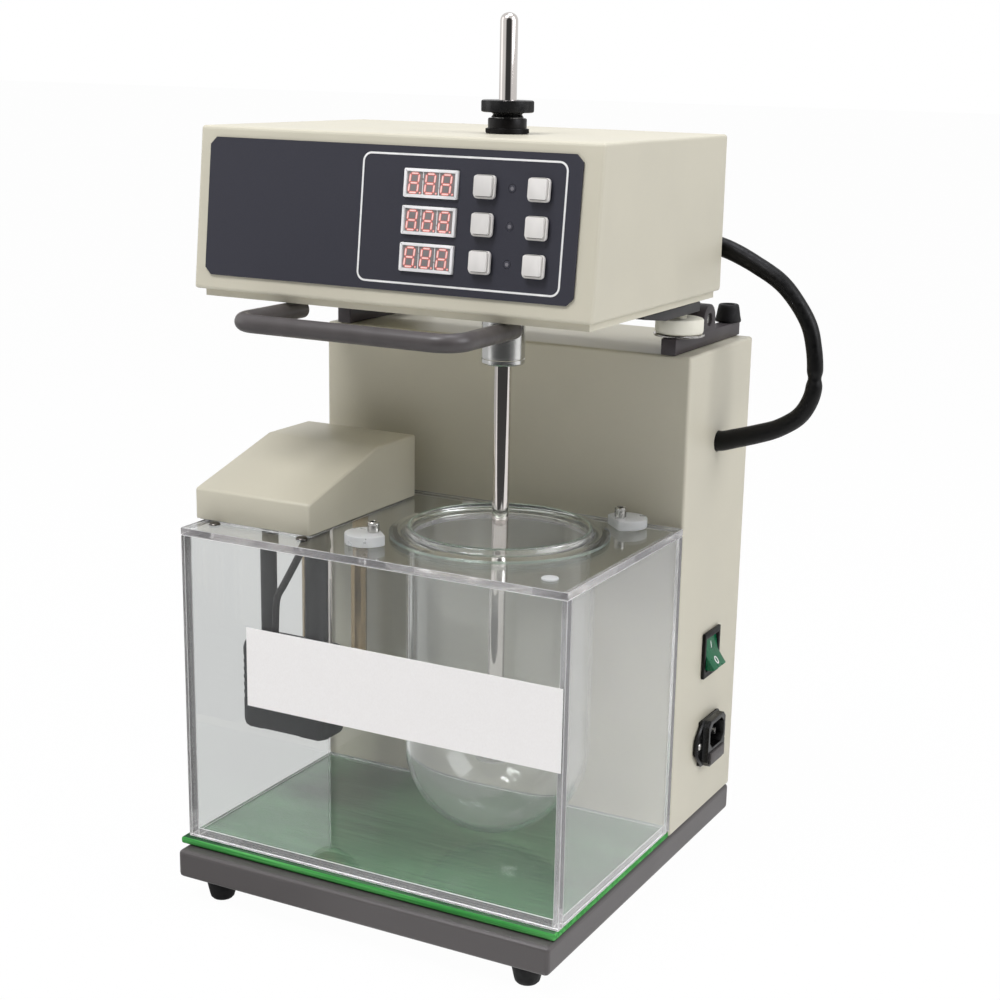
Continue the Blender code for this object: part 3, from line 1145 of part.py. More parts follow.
def make_cams():
    """Two discs, each turning off its middle, with one flat side that faces the vessel at rest."""
    low = LID_TOP + CLEARANCE
    for side, angle_deg, (x, y) in zip(("left", "right"), CAM_ANGLES_DEG, cam_places()):
        half = acos((CAM_FLAT + CAM_THROW) / CAM_RADIUS) * 180 / pi
        toward = angle_deg + 180
        middle = (CAM_THROW * cos(radians(angle_deg)), CAM_THROW * sin(radians(angle_deg)))
        outline = arc(middle, CAM_RADIUS, toward + half, toward + 360 - half, 25)
        hole = arc((0, 0), CAM_SCREW_RADIUS + CLEARANCE, 0, 330, 12)
        place = (x, y, low + CAM_HEIGHT / 2)
        cam = plate(f"cam_{side}", [outline, hole], CAM_HEIGHT, place, UPRIGHT, WHITE_NYLON)
        ride_on(f"cam_{side}_turn", (x, y, low), [cam])
        head_low = low + CAM_HEIGHT + CLEARANCE
        head_top = head_low + CAM_SCREW_HEAD
        floor = head_top - CAM_SOCKET_DEPTH
        profile = [
            (0, floor), (CAM_SOCKET_RADIUS, floor), (CAM_SOCKET_RADIUS, head_top),
            (CAM_SCREW_HEAD_RADIUS, head_top), (CAM_SCREW_HEAD_RADIUS, head_low),
            (CAM_SCREW_RADIUS, head_low), (CAM_SCREW_RADIUS, LID_BASE), (0, LID_BASE),
        ]
        smooth(turned(f"cam_screw_{side}", profile, (x, y, 0), STEEL, 12))


# Heater and circulator unit, which hangs through the lid's cut-out
def make_heater():
    left, right = HEATER_LEFT, HEATER_RIGHT
    front, back = HEATER_FRONT, HEATER_BACK
    low, middle, high = HEATER_BASE, HEATER_BASE + HEATER_LOW, HEATER_BASE + HEATER_HIGH
    outline = [(front, low), (back, low), (back, high), (front + HEATER_SLOPE, high), (front, middle)]
    centre, width = (left + right) / 2, right - left
    cover = plate("heater_cover", [outline], width, (centre, 0, 0), FACING_RIGHT, BEIGE_PAINT)
    bevel(cover, HEATER_ROUNDING, 3, 12)
    wall = HEATER_WALL
    inner = [
        (front + wall, low - OVERRUN), (back - wall, low - OVERRUN), (back - wall, high - wall),
        (front + HEATER_SLOPE, high - wall), (front + wall, middle - wall),
    ]
    cut(cover, plate("heater_hollow", [inner], width - 2 * wall, (centre, 0, 0), FACING_RIGHT))

    gap = wall + CLEARANCE
    base = block(
        "heater_base_plate", (left + gap, front + gap, low), (right - gap, back - gap, HEATER_PLATE_TOP), STEEL
    )
    hang_from = HEATER_BASE - CLEARANCE
    make_pump(hang_from)
    probe_place = (LEFT + PROBE_PLACE[0], FRONT + PROBE_PLACE[1], 0)
    disc("temperature_probe", PROBE_RADIUS, TRAY_BASE + PROBE_RISE, hang_from, probe_place, STEEL, 10)
    make_heater_element(hang_from)
    return base


def make_heater_element(top):
    """A steel tube bent to a U."""
    first = (LEFT + COIL_PLACE[0], FRONT + COIL_PLACE[1])
    second = (LEFT + COIL_OTHER_PLACE[0], FRONT + COIL_OTHER_PLACE[1])
    bottom = TRAY_BASE + COIL_BOTTOM
    radius = hypot(second[0] - first[0], second[1] - first[1]) / 2
    route = [(*first, top)]
    for i in range(COIL_BEND_POINTS):
        angle = pi * i / (COIL_BEND_POINTS - 1)
        share = (1 - cos(angle)) / 2
        x = first[0] + (second[0] - first[0]) * share
        y = first[1] + (second[1] - first[1]) * share
        route.append((x, y, bottom + radius - radius * sin(angle)))
    route.append((*second, top))
    smooth(tube("heater_element", route, COIL_RADIUS, STEEL, 2))


def make_pump(top):
    """A submerged pump on its riser tube, with its impeller and the lead that feeds it."""
    low = (PUMP_X - PUMP_WIDTH / 2, PUMP_Y - PUMP_DEPTH / 2, PUMP_BASE)
    high = (PUMP_X + PUMP_WIDTH / 2, PUMP_Y + PUMP_DEPTH / 2, PUMP_TOP)
    pump = block("pump_housing", low, high, BLACK_PLASTIC, PUMP_ROUNDING, 2)
    foot = PUMP_TOP - PUMP_ROUNDING
    for name, radius, (across, back) in (
        ("pump_riser", RISER_RADIUS, RISER_PLACE),
        ("pump_hanger", HANGER_RADIUS, HANGER_PLACE),
    ):
        place = (LEFT + across, FRONT + back, 0)
        join(pump, disc(name, radius, foot, top, place, steps=SMALL_STEPS))
    impeller_low = PUMP_BASE + IMPELLER_RISE
    chamber = impeller_low + IMPELLER_HEIGHT + CLEARANCE
    place = (PUMP_X, PUMP_Y, 0)
    radius = IMPELLER_RADIUS + CLEARANCE
    cut(pump, disc("pump_chamber", radius, PUMP_BASE - OVERRUN, chamber, place, steps=24))
    for i in range(PUMP_SLOTS):
        z = PUMP_BASE + PUMP_SLOT_RISE + PUMP_SLOT_PITCH * i
        slot_low = (low[0] - OVERRUN, low[1] - OVERRUN, z)
        slot_high = (low[0] + PUMP_SLOT_REACH, low[1] + PUMP_WALL, z + PUMP_SLOT_HEIGHT)
        cut(pump, block(f"pump_slot_{i}", slot_low, slot_high))

    profile = [
        (0, impeller_low + IMPELLER_HEIGHT), (IMPELLER_HUB, impeller_low + IMPELLER_HEIGHT),
        (IMPELLER_HUB, impeller_low + IMPELLER_DISC), (IMPELLER_RADIUS, impeller_low + IMPELLER_DISC),
        (IMPELLER_RADIUS, impeller_low), (0, impeller_low),
    ]
    impeller = turned("pump_impeller", profile, place, WHITE_NYLON, 16)
    reach = IMPELLER_RADIUS * cos(pi / 16)
    for i in range(IMPELLER_BLADES // 2):
        half = (reach, IMPELLER_BLADE / 2) if i == 0 else (IMPELLER_BLADE / 2, reach)
        blade_low = (PUMP_X - half[0], PUMP_Y - half[1], impeller_low + IMPELLER_DISC / 2)
        blade_high = (PUMP_X + half[0], PUMP_Y + half[1], impeller_low + IMPELLER_HEIGHT - IMPELLER_DISC)
        join(impeller, block(f"impeller_blade_{i}", blade_low, blade_high))
    ride_on("pump_impeller_spin", (PUMP_X, PUMP_Y, impeller_low), [impeller])
    smooth(tube("pump_lead", through(LEAD_ROUTE, (LEFT, FRONT, TRAY_BASE), 3), LEAD_RADIUS, RUBBER, 2))


# The pump's lead, from the pump's top up to the heater's base plate, measured from the tray's front left corner
LEAD_ROUTE = [
    (30.1 * MM, 63.0 * MM, 136.8 * MM),
    (30.7 * MM, 62.7 * MM, 148.0 * MM),
    (33.2 * MM, 61.0 * MM, 164.9 * MM),
    (40.7 * MM, 57.0 * MM, 175.2 * MM),
    (52.6 * MM, 50.0 * MM, 189.8 * MM),
    (61.9 * MM, 44.0 * MM, 201.2 * MM),
    (68.5 * MM, 39.0 * MM, 210.4 * MM),
    (69.5 * MM, 38.2 * MM, 215.3 * MM),
]

# The sleeve's route, from inside the head's back, out to the right, and down into the column's side, measured
# from the column's top right rear corner
SLEEVE_ROUTE = [
    (-16.9 * MM, -63.0 * MM, 61.6 * MM),
    (-16.7 * MM, -57.9 * MM, 61.4 * MM),
    (-14.1 * MM, -52.1 * MM, 60.9 * MM),
    (-8.5 * MM, -49.1 * MM, 59.9 * MM),
    (2.1 * MM, -48.7 * MM, 56.8 * MM),
    (16.9 * MM, -49.1 * MM, 50.3 * MM),
    (33.2 * MM, -49.5 * MM, 41.2 * MM),
    (44.8 * MM, -49.9 * MM, 29.5 * MM),
    (53.1 * MM, -50.3 * MM, 16.5 * MM),
    (56.9 * MM, -50.5 * MM, 2.4 * MM),
    (58.2 * MM, -50.7 * MM, -10.8 * MM),
    (57.3 * MM, -50.9 * MM, -23.9 * MM),
    (50.8 * MM, -51.0 * MM, -36.4 * MM),
    (38.2 * MM, -51.1 * MM, -45.3 * MM),
    (24.3 * MM, -51.3 * MM, -50.6 * MM),
    (10.6 * MM, -51.3 * MM, -54.9 * MM),
    (2.8 * MM, -51.3 * MM, -57.2 * MM),
    (-3.3 * MM, -51.3 * MM, -57.6 * MM),
]


def through(route, start, steps):
    """Points along a smooth curve through a route's own points, measured from a start."""
    points = [Vector(start) + Vector(place) for place in route]
    points = [2 * points[0] - points[1], *points, 2 * points[-1] - points[-2]]
    found = []
    for before, first_end, last_end, after in zip(points, points[1:], points[2:], points[3:]):
        for i in range(steps):
            t = i / steps
            first = 2 * first_end + (last_end - before) * t
            second = (2 * before - 5 * first_end + 4 * last_end - after) * t**2
            third = (3 * first_end - 3 * last_end + after - before) * t**3
            found.append((first + second + third) / 2)
    return [*found, points[-2]]


def make_sleeve():
    smooth(tube("cable_sleeve", through(SLEEVE_ROUTE, (RIGHT, BACK, COLUMN_TOP), 2), SLEEVE_RADIUS, RUBBER, 3), 60)


def main():
    make_tray()
    make_mat()
    make_column()
    make_inlet()
    make_switch()
    riders = make_hinge("left", LEFT + HINGE_FROM_SIDE, 1)
    riders += make_hinge("right", RIGHT - HINGE_FROM_SIDE, -1)
    riders += make_head_shell()
    riders.append(make_handle())
    riders += make_panel()
    riders += make_drive()
    ride_on("head_tilt", (0, HINGE_Y, HINGE_Z), riders)
    make_bath()
    make_vessel()
    make_cams()
    make_heater()
    make_sleeve()


for leftover in list(bpy.data.objects):
    bpy.data.objects.remove(leftover)
PARTS = new_collection("dissolution_tester")
CUTTERS = new_collection("cutters")
CUTTERS.hide_render = True
BEIGE_PAINT = material("beige_paint", (0.62, 0.60, 0.51), 0.45)
DARK_PAINT = material("dark_paint", (0.09, 0.085, 0.085), 0.5)
HINGE_PAINT = material("hinge_paint", (0.06, 0.055, 0.055), 0.5)
BLACK_PAINT = material("black_paint", (0.02, 0.02, 0.02), 0.4)
RUBBER = material("rubber", (0.012, 0.012, 0.012), 0.7)
GREEN_FOAM = material("green_foam", (0.08, 0.42, 0.10), 0.8)
BLACK_PLASTIC = material("black_plastic", (0.015, 0.015, 0.016), 0.4)
GREY_PLASTIC = material("grey_plastic", (0.15, 0.15, 0.15), 0.5)
GREEN_PLASTIC = material("green_plastic", (0.01, 0.22, 0.10), 0.35)
GREEN_BOARD = material("green_board", (0.02, 0.15, 0.05), 0.5)
STEEL = material("steel", (0.6, 0.6, 0.6), 0.2, 1.0)
ALUMINIUM = material("aluminium", (0.75, 0.75, 0.75), 0.3, 1.0)
NYLON = material("nylon", (0.75, 0.70, 0.55), 0.5)
WHITE_NYLON = material("white_nylon", (0.75, 0.75, 0.75), 0.4)
WHITE_PLASTIC = material("white_plastic", (0.75, 0.76, 0.77), 0.4)
GREY_BUTTON = material("grey_button", (0.5, 0.5, 0.5), 0.5)
GREY_GRIP = material("grey_grip", (0.15, 0.15, 0.15), 0.6)
DARK_OVERLAY = material("dark_overlay", (0.045, 0.045, 0.06), 0.4)
DARK_LENS = material("dark_lens", (0.05, 0.05, 0.05), 0.2)
CLEAR_ACRYLIC = material("clear_acrylic", (0.9, 0.93, 0.93), 0.05, 0.0, 0.25)
GLASS = material("glass", (0.85, 0.92, 0.88), 0.03, 0.0, 0.25)
PAPER = material("paper", (0.78, 0.77, 0.75), 0.6)
main()
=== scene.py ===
# %% [markdown]
# A tablet dissolution tester
#
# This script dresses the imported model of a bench-top tester: a drive head that tilts on a painted column,
# over a clear water bath that holds a glass vessel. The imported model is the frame. Its pieces keep their
# places, and each one either gets a better finish or makes way for a more detailed piece in the same
# space.

# %% The frame
from math import atan2, cos, exp, pi, radians, sin

import bpy
from mathutils import Matrix, Vector, noise


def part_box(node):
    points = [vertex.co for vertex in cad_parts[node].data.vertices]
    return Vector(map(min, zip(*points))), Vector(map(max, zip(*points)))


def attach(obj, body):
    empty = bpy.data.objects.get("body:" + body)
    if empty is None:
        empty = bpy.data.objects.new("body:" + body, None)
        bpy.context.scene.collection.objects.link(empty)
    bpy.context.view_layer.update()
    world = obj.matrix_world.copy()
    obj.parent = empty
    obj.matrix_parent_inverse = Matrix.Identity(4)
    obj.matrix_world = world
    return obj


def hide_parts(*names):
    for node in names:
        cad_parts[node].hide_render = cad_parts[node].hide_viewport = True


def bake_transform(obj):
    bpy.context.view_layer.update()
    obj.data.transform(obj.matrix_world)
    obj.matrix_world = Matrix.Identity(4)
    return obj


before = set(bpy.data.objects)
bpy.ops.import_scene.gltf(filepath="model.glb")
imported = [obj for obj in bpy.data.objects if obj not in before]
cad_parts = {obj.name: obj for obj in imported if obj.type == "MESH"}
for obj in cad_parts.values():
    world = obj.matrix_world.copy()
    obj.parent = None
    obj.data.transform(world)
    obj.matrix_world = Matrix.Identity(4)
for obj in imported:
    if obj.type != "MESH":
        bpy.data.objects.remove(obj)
bpy.context.scene.view_settings.view_transform = "Standard"
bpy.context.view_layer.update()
MM = 0.001

# %% [markdown]
# The camera stands ahead of the tester's right front corner and a little above it, as the photographer
# did. Its place and its three directions were worked out from the corners of the tray, the bath, the
# column and the head, so they are given as plain vectors: to the right, down and into the picture.

# %% Camera
RIGHTWARD = Vector((0.88669, 0.46184, 0.02185))
DOWNWARD = Vector((0.13868, -0.22058, -0.96546))
INWARD = Vector((-0.44107, 0.85910, -0.25963))
CAMERA_PLACE = Vector((508.3, -910.8, 496.9)) * MM
SENSOR_WIDTH, FOCAL_LENGTH = 36, 64.41
SHIFT_ACROSS, SHIFT_UP = -0.0276, 0.0390

camera_data = bpy.data.cameras.new("studio_camera")
camera_data.sensor_width = SENSOR_WIDTH
camera_data.lens = FOCAL_LENGTH
camera_data.shift_x = SHIFT_ACROSS
camera_data.shift_y = SHIFT_UP
camera = bpy.data.objects.new("studio_camera", camera_data)
bpy.context.scene.collection.objects.link(camera)
axes = Matrix((RIGHTWARD, -DOWNWARD, -INWARD)).transposed().to_4x4()
camera.matrix_world = Matrix.Translation(CAMERA_PLACE) @ axes
bpy.context.scene.camera = camera
print("camera", [round(x, 3) for x in CAMERA_PLACE])

# %% [markdown]
# Every operator in Blender acts on all that is selected, so each step first says what it works on. These
# few helpers do that: they select one piece, choose some of its points, edges or faces by a rule, and
# leave edit mode again. A primitive gets its place and size at once and keeps them in its mesh.

# %% Choosing what an operator works on
def only(piece):
    """Selects one piece and nothing else."""
    bpy.ops.object.select_all(action="DESELECT")
    piece.select_set(True)
    bpy.context.view_layer.objects.active = piece


def choose(piece, kind, rule):
    """Opens a piece in edit mode, with those parts of one kind selected for which the rule says yes."""
    only(piece)
    bpy.ops.object.mode_set(mode="EDIT")
    bpy.ops.mesh.select_mode(type=kind)
    bpy.ops.mesh.select_all(action="DESELECT")
    bpy.ops.object.mode_set(mode="OBJECT")
    mesh = piece.data
    for part in {"VERT": mesh.vertices, "EDGE": mesh.edges, "FACE": mesh.polygons}[kind]:
        part.select = bool(rule(part))
    bpy.ops.object.mode_set(mode="EDIT")


def close():
    """Leaves edit mode."""
    bpy.ops.object.mode_set(mode="OBJECT")


def settle(piece, name):
    """Gives a new piece its name, and moves its place, turn and size into its mesh."""
    piece.name = piece.data.name = name
    only(piece)
    bpy.ops.object.transform_apply(location=True, rotation=True, scale=True)
    return piece


def block(name, low, high):
    """A box between two corners."""
    low, high = Vector(low), Vector(high)
    bpy.ops.object.select_all(action="DESELECT")
    bpy.ops.mesh.primitive_cube_add(size=1, location=(low + high) / 2)
    piece = bpy.context.active_object
    piece.scale = high - low
    return settle(piece, name)


def drum(name, radius, low, high, place, steps=64):
    """An upright cylinder between two heights."""
    bpy.ops.object.select_all(action="DESELECT")
    middle = (place[0], place[1], (low + high) / 2)
    bpy.ops.mesh.primitive_cylinder_add(vertices=steps, radius=radius, depth=high - low, location=middle)
    return settle(bpy.context.active_object, name)


# %% [markdown]
# Shapes are finished in the same few ways throughout. Modifiers are applied at once, so that the next
# step works on real points. Cutters are taken out with the Boolean modifier, sharp edges are rounded with
# the Bevel modifier, and round pieces are spun from a profile. A piece that keeps its packed outline
# starts as a copy of its node.

# %% Finishing a shape
def apply_all(piece):
    """Applies a piece's modifiers, from the first to the last."""
    only(piece)
    for modifier in list(piece.modifiers):
        bpy.ops.object.modifier_apply(modifier=modifier.name)
    return piece


def carve(piece, *cutters):
    """Cuts other shapes out of a piece and deletes them."""
    for cutter in cutters:
        change = piece.modifiers.new("carve", "BOOLEAN")
        change.operation = "DIFFERENCE"
        change.object = cutter
        change.solver = "EXACT"
        apply_all(piece)
        bpy.data.objects.remove(cutter)
    return piece


def round_edges(piece, width, segments=3, limit=35, smooth_limit=35):
    """Rounds the sharp edges of a piece and shades it smooth between its remaining ones."""
    change = piece.modifiers.new("rounding", "BEVEL")
    change.width = width
    change.segments = segments
    change.limit_method = "ANGLE"
    change.angle_limit = radians(limit)
    change.use_clamp_overlap = True
    apply_all(piece)
    bpy.ops.object.shade_smooth_by_angle(angle=radians(smooth_limit))
    return piece


def turned(name, profile, place, steps=64, smooth_limit=35):
    """A profile of (radius, height) points in millimetres, spun about an upright axis."""
    mesh = bpy.data.meshes.new(name)
    points = [(place[0] + radius * MM, place[1], height * MM) for radius, height in profile]
    mesh.from_pydata(points, [(i, i + 1) for i in range(len(points) - 1)], [])
    piece = bpy.data.objects.new(name, mesh)
    bpy.context.scene.collection.objects.link(piece)
    choose(piece, "VERT", lambda point: True)
    bpy.ops.mesh.spin(steps=steps, angle=2 * pi, center=(place[0], place[1], 0), axis=(0, 0, 1))
    bpy.ops.mesh.select_all(action="SELECT")
    bpy.ops.mesh.remove_doubles(threshold=2e-6)
    bpy.ops.mesh.normals_make_consistent(inside=False)
    close()
    bpy.ops.object.shade_smooth_by_angle(angle=radians(smooth_limit))
    return piece


def copied(name, node):
    """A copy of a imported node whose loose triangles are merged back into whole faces."""
    piece = bpy.data.objects.new(name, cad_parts[node].data.copy())
    bpy.context.scene.collection.objects.link(piece)
    choose(piece, "VERT", lambda point: True)
    bpy.ops.mesh.customdata_custom_splitnormals_clear()
    bpy.ops.mesh.remove_doubles(threshold=2e-6)
    bpy.ops.mesh.dissolve_limited(angle_limit=radians(1))
    close()
    piece.data.materials.clear()
    return piece


def dressed(piece, finish, *others):
    """Gives a piece one finish, and others on those faces for which their rules say yes."""
    piece.data.materials.append(finish)
    for index, (other, rule) in enumerate(others, 1):
        piece.data.materials.append(other)
        for face in piece.data.polygons:
            if rule(face):
                face.material_index = index
    return piece


print("helpers ready")

# %% [markdown]
# Shader maths is easier to read as ordinary maths. A Value stands for one output of a node, and adding or
# multiplying two of them adds a Math node. Nodes is a tree that is being built: its node method adds any
# kind of node, and fills or links its sockets. A Finish is such a tree for a material, and its set method
# does the same for the sockets of the material's shader.

# %% Shader maths
class Value:
    """One output of a node."""

    def __init__(self, nodes, socket):
        self.nodes = nodes
        self.socket = socket

    def __add__(self, other):
        return self.nodes.maths("ADD", self, other)

    def __sub__(self, other):
        return self.nodes.maths("SUBTRACT", self, other)

    def __rsub__(self, other):
        return self.nodes.maths("SUBTRACT", other, self)

    def __mul__(self, other):
        return self.nodes.maths("MULTIPLY", self, other)


class Nodes:
    """A tree of nodes that is being built."""

    def __init__(self, tree):
        self.tree = tree

    def fill(self, socket, value):
        if isinstance(value, Value):
            self.tree.links.new(value.socket, socket)
        else:
            if isinstance(value, tuple) and len(value) < len(socket.default_value):
                value = (*value, 1)
            socket.default_value = value

    def node(self, kind, settings=None, sockets=None, output=0):
        """Adds a node. Its settings come first, then the values or links of its sockets."""
        made = self.tree.nodes.new(kind)
        for name, value in (settings or {}).items():
            setattr(made, name, value)
        for name, value in (sockets or {}).items():
            self.fill(made.inputs[name], value)
        return Value(self, made.outputs[output])

    def maths(self, operation, first, second):
        return self.node("ShaderNodeMath", {"operation": operation}, {0: first, 1: second})

    def rays(self, kind):
        """One for the rays of a kind, such as Camera, Shadow or Glossy, and nothing for all others."""
        return self.node("ShaderNodeLightPath", output=f"Is {kind} Ray")

    def between(self, value, low, high, to_low=0.0, to_high=1.0):
        """Takes low to high over to another range, with soft ends."""
        sockets = {"Value": value, "From Min": low, "From Max": high, "To Min": to_low, "To Max": to_high}
        return self.node("ShaderNodeMapRange", {"interpolation_type": "SMOOTHSTEP"}, sockets)

    def mix(self, share, first, second):
        """A mix of two numbers."""
        return self.node("ShaderNodeMix", {"data_type": "FLOAT"}, {0: share, 2: first, 3: second})


class Finish(Nodes):
    """A material that is being mixed from nodes."""

    def __init__(self, name, **sockets):
        self.material = bpy.data.materials.new(name)
        self.material.use_nodes = True
        super().__init__(self.material.node_tree)
        self.shader = self.tree.nodes["Principled BSDF"]
        self.set(**sockets)

    def set(self, **sockets):
        """Fills or links sockets of the shader, whose names are written with underscores."""
        for name, value in sockets.items():
            title = name.replace("_", " ").title().replace("Ior", "IOR")
            self.fill(self.shader.inputs[title], value)

    def place(self):
        """The place on the piece, in metres."""
        return self.node("ShaderNodeTexCoord", output="Object")

    def axis(self, name):
        """How far along x, y or z."""
        return self.node("ShaderNodeSeparateXYZ", sockets={0: self.place()}, output=name)

    def grain(self, size, detail=2.0, stretch=(1, 1, 1)):
        """Cloudy noise from 0 to 1, whose spots are about size millimetres wide."""
        place = self.node("ShaderNodeMapping", sockets={"Vector": self.place(), "Scale": Vector(stretch)})
        sockets = {"Vector": place, "Scale": 1000 / size, "Detail": detail}
        return self.node("ShaderNodeTexNoise", sockets=sockets)

    def blend(self, share, first, second):
        """A mix of two colours."""
        return self.node("ShaderNodeMix", {"data_type": "RGBA"}, {0: share, 6: first, 7: second}, 2)

    def bump(self, height, distance, strength=1.0):
        """Sets the shader's normal from a height of 0 to 1, which stands for distance millimetres."""
        sockets = {"Height": height, "Distance": distance * MM, "Strength": strength}
        self.set(normal=self.node("ShaderNodeBump", sockets=sockets))

    def mix_in(self, share, other):
        """Shows a mix of the shader and another one."""
        own = Value(self, self.shader.outputs[0])
        mixed = self.node("ShaderNodeMixShader", sockets={0: share, 1: own, 2: other})
        self.fill(self.tree.nodes["Material Output"].inputs["Surface"], mixed)


def byte(value):
    value /= 255
    return value / 12.92 if value <= 0.04045 else ((value + 0.055) / 1.055) ** 2.4


def rgb(red, green, blue):
    """A colour from the 0 to 255 scale of pictures."""
    return (byte(red), byte(green), byte(blue))


def shade(colour, factor):
    return tuple(min(1.0, part * factor) for part in colour)


print("shader maths ready")

# %% [markdown]
# Powder coat is baked on as a dry powder, so it has a fine orange-peel skin, a soft gloss and faint
# clouds where the coat is thicker. All the sheet metal here wears it: warm light grey on the covers, dark
# grey on the tray and near black on the hinge.

# %% Powder coat
def powder_coat(name, colour, roughness=0.4, peel=0.7):
    finish = Finish(name)
    clouds = finish.grain(55, 3)
    specks = finish.grain(0.5, 2)
    tone = finish.between(clouds, 0.3, 0.7)
    base = finish.blend(tone, shade(colour, 0.98), shade(colour, 1.02))
    dust = finish.between(specks, 0.62, 0.75, 0.0, 0.22)
    finish.set(base_color=finish.blend(dust, base, shade(colour, 0.8)))
    finish.set(roughness=finish.between(specks + clouds, 0.6, 1.4, roughness - 0.05, roughness + 0.08))
    finish.bump(finish.grain(peel, 2), 0.035)
    return finish.material


WARM_GREY = rgb(207, 202, 182)
warm_coat = powder_coat("warm_grey_coat", WARM_GREY)
tray_coat = powder_coat("dark_grey_coat", rgb(82, 78, 77), 0.4, 0.6)
hinge_coat = powder_coat("hinge_coat", rgb(60, 54, 56), 0.42, 0.5)
arm_coat = powder_coat("black_coat", rgb(32, 30, 31), 0.42, 0.5)
print("coats", 4)

# %% [markdown]
# Rubber and moulded plastic differ mostly in their gloss and in the grain of the mould. Rubber is matt,
# with a dusty bloom in patches. Plastic has a finer, even grain, and its gloss changes a little where it
# is handled.

# %% Rubber and plastic
def rubber(name, colour, roughness=0.55, dust=0.35):
    finish = Finish(name, specular_ior_level=0.25)
    bloom = finish.between(finish.grain(9, 4), 0.45, 0.75, 0.0, dust)
    finish.set(base_color=finish.blend(bloom, colour, shade(colour, 1.9)))
    finish.set(roughness=finish.between(finish.grain(3, 3), 0.3, 0.7, roughness - 0.08, roughness + 0.12))
    finish.bump(finish.grain(0.6, 3), 0.03)
    return finish.material


def moulded(name, colour, roughness=0.4, size=0.35, depth=0.02, shine=0.35):
    finish = Finish(name, specular_ior_level=shine)
    flow = finish.between(finish.grain(14, 3, (1, 1, 0.4)), 0.3, 0.7)
    finish.set(base_color=finish.blend(flow, shade(colour, 0.92), shade(colour, 1.08)))
    finish.set(roughness=finish.between(finish.grain(5, 3), 0.3, 0.7, roughness - 0.06, roughness + 0.08))
    finish.bump(finish.grain(size, 2), depth)
    return finish.material


black_rubber = rubber("black_rubber", rgb(24, 23, 24))
foot_rubber = rubber("foot_rubber", rgb(16, 16, 17), 0.6)
sleeve_rubber = rubber("sleeve_rubber", rgb(3, 3, 3), 0.4, 0.1)
grip_vinyl = moulded("grey_grip_vinyl", rgb(77, 73, 72), 0.36, 0.5, 0.02)
black_plastic = moulded("black_plastic", rgb(14, 12, 12), 0.36, shine=0.18)
gloss_plastic = moulded("gloss_black_plastic", rgb(8, 8, 8), 0.22, shine=0.3)
matt_plastic = moulded("matt_black_plastic", rgb(22, 23, 26), 0.5, 0.3, 0.008)
grey_plastic = moulded("grey_plastic", rgb(80, 76, 74), 0.45)
white_plastic = moulded("white_plastic", rgb(243, 242, 240), 0.38)
key_plastic = moulded("key_plastic", rgb(222, 219, 213), 0.42, 0.3, 0.015)
cream_nylon = moulded("cream_nylon", rgb(243, 240, 222), 0.42, 0.8, 0.02)
print("rubbers and plastics", 11)

# %% [markdown]
# A turned part keeps fine rings from the cutting tool, a polished bar keeps faint lines along its length,
# and rolled sheet has a long straight grain. All three are metal, and only the direction of the lines
# differs, so one function makes them from a noise that is stretched along one axis.

# %% Metals
def worked_metal(name, colour, roughness, stretch, depth=0.006, size=0.25):
    finish = Finish(name, metallic=1.0)
    lines = finish.grain(size, 2, stretch)
    stain = finish.between(finish.grain(22, 3), 0.35, 0.75, 0.0, 0.5)
    finish.set(base_color=finish.blend(stain, colour, shade(colour, 0.86)))
    finish.set(roughness=finish.between(lines, 0.3, 0.7, roughness * 0.8, roughness * 1.25))
    finish.bump(lines, depth)
    return finish.material


polished_steel = worked_metal("polished_steel", rgb(224, 218, 214), 0.05, (1, 1, 0.02), 0.001)
screw_steel = worked_metal("screw_steel", rgb(196, 194, 190), 0.24, (0.2, 0.2, 1))
sheet_steel = worked_metal("sheet_steel", rgb(160, 158, 152), 0.3, (1, 0.02, 1))
turned_aluminium = worked_metal("turned_aluminium", rgb(222, 222, 220), 0.2, (0.05, 0.05, 1), 0.01, 0.3)
# Painted reflection: the heating tube's brown tint stands for the beige parts it reflects.
reflection_tinted_steel = worked_metal("reflection_tinted_steel", rgb(156, 138, 108), 0.2, (1, 1, 0.03))
brass = worked_metal("brass", rgb(214, 190, 130), 0.25, (1, 0.1, 1))
print("metals", 6)

# %% [markdown]
# Clear acrylic and glass let light through. A renderer gives solid glass a hard black shadow, which the
# real sheet doesn't have, so rays that only ask for shadow pass straight through. Cast acrylic is hardly
# tinted. The bath's right sheet is a little milky, as painted reflection: its pale veil stands for the
# reflection on it. The vessel's glass is milky too, partly from a faint film of dust and partly as painted
# reflection; it is a little greener and stays clear at its mouth. A sawn acrylic edge is polished but
# not quite clear, with a fine white line along each corner, and the vessel's rim is ground and looks pale
# green.

# %% Clear materials
def see_through(name, colour, ior, smear, wave, share=1.0):
    finish = Finish(name, base_color=colour, transmission_weight=share, ior=ior)
    finish.set(roughness=finish.between(finish.grain(26, 4), 0.4, 0.8, 0.0, smear))
    finish.bump(finish.grain(34, 1), wave, 0.35)
    clear = finish.node("ShaderNodeBsdfTransparent", sockets={"Color": shade(colour, 0.96)})
    finish.mix_in(finish.rays("Shadow"), clear)
    return finish.material


clear_acrylic = see_through("clear_acrylic", (0.975, 0.985, 0.98), 1.46, 0.03, 0.02)
# Painted reflection: a milky veil on the bath's right sheet stands for the reflection on it.
reflection_veil_acrylic = see_through("reflection_veil_acrylic", (0.975, 0.975, 0.97), 1.46, 0.03, 0.02, 0.93)
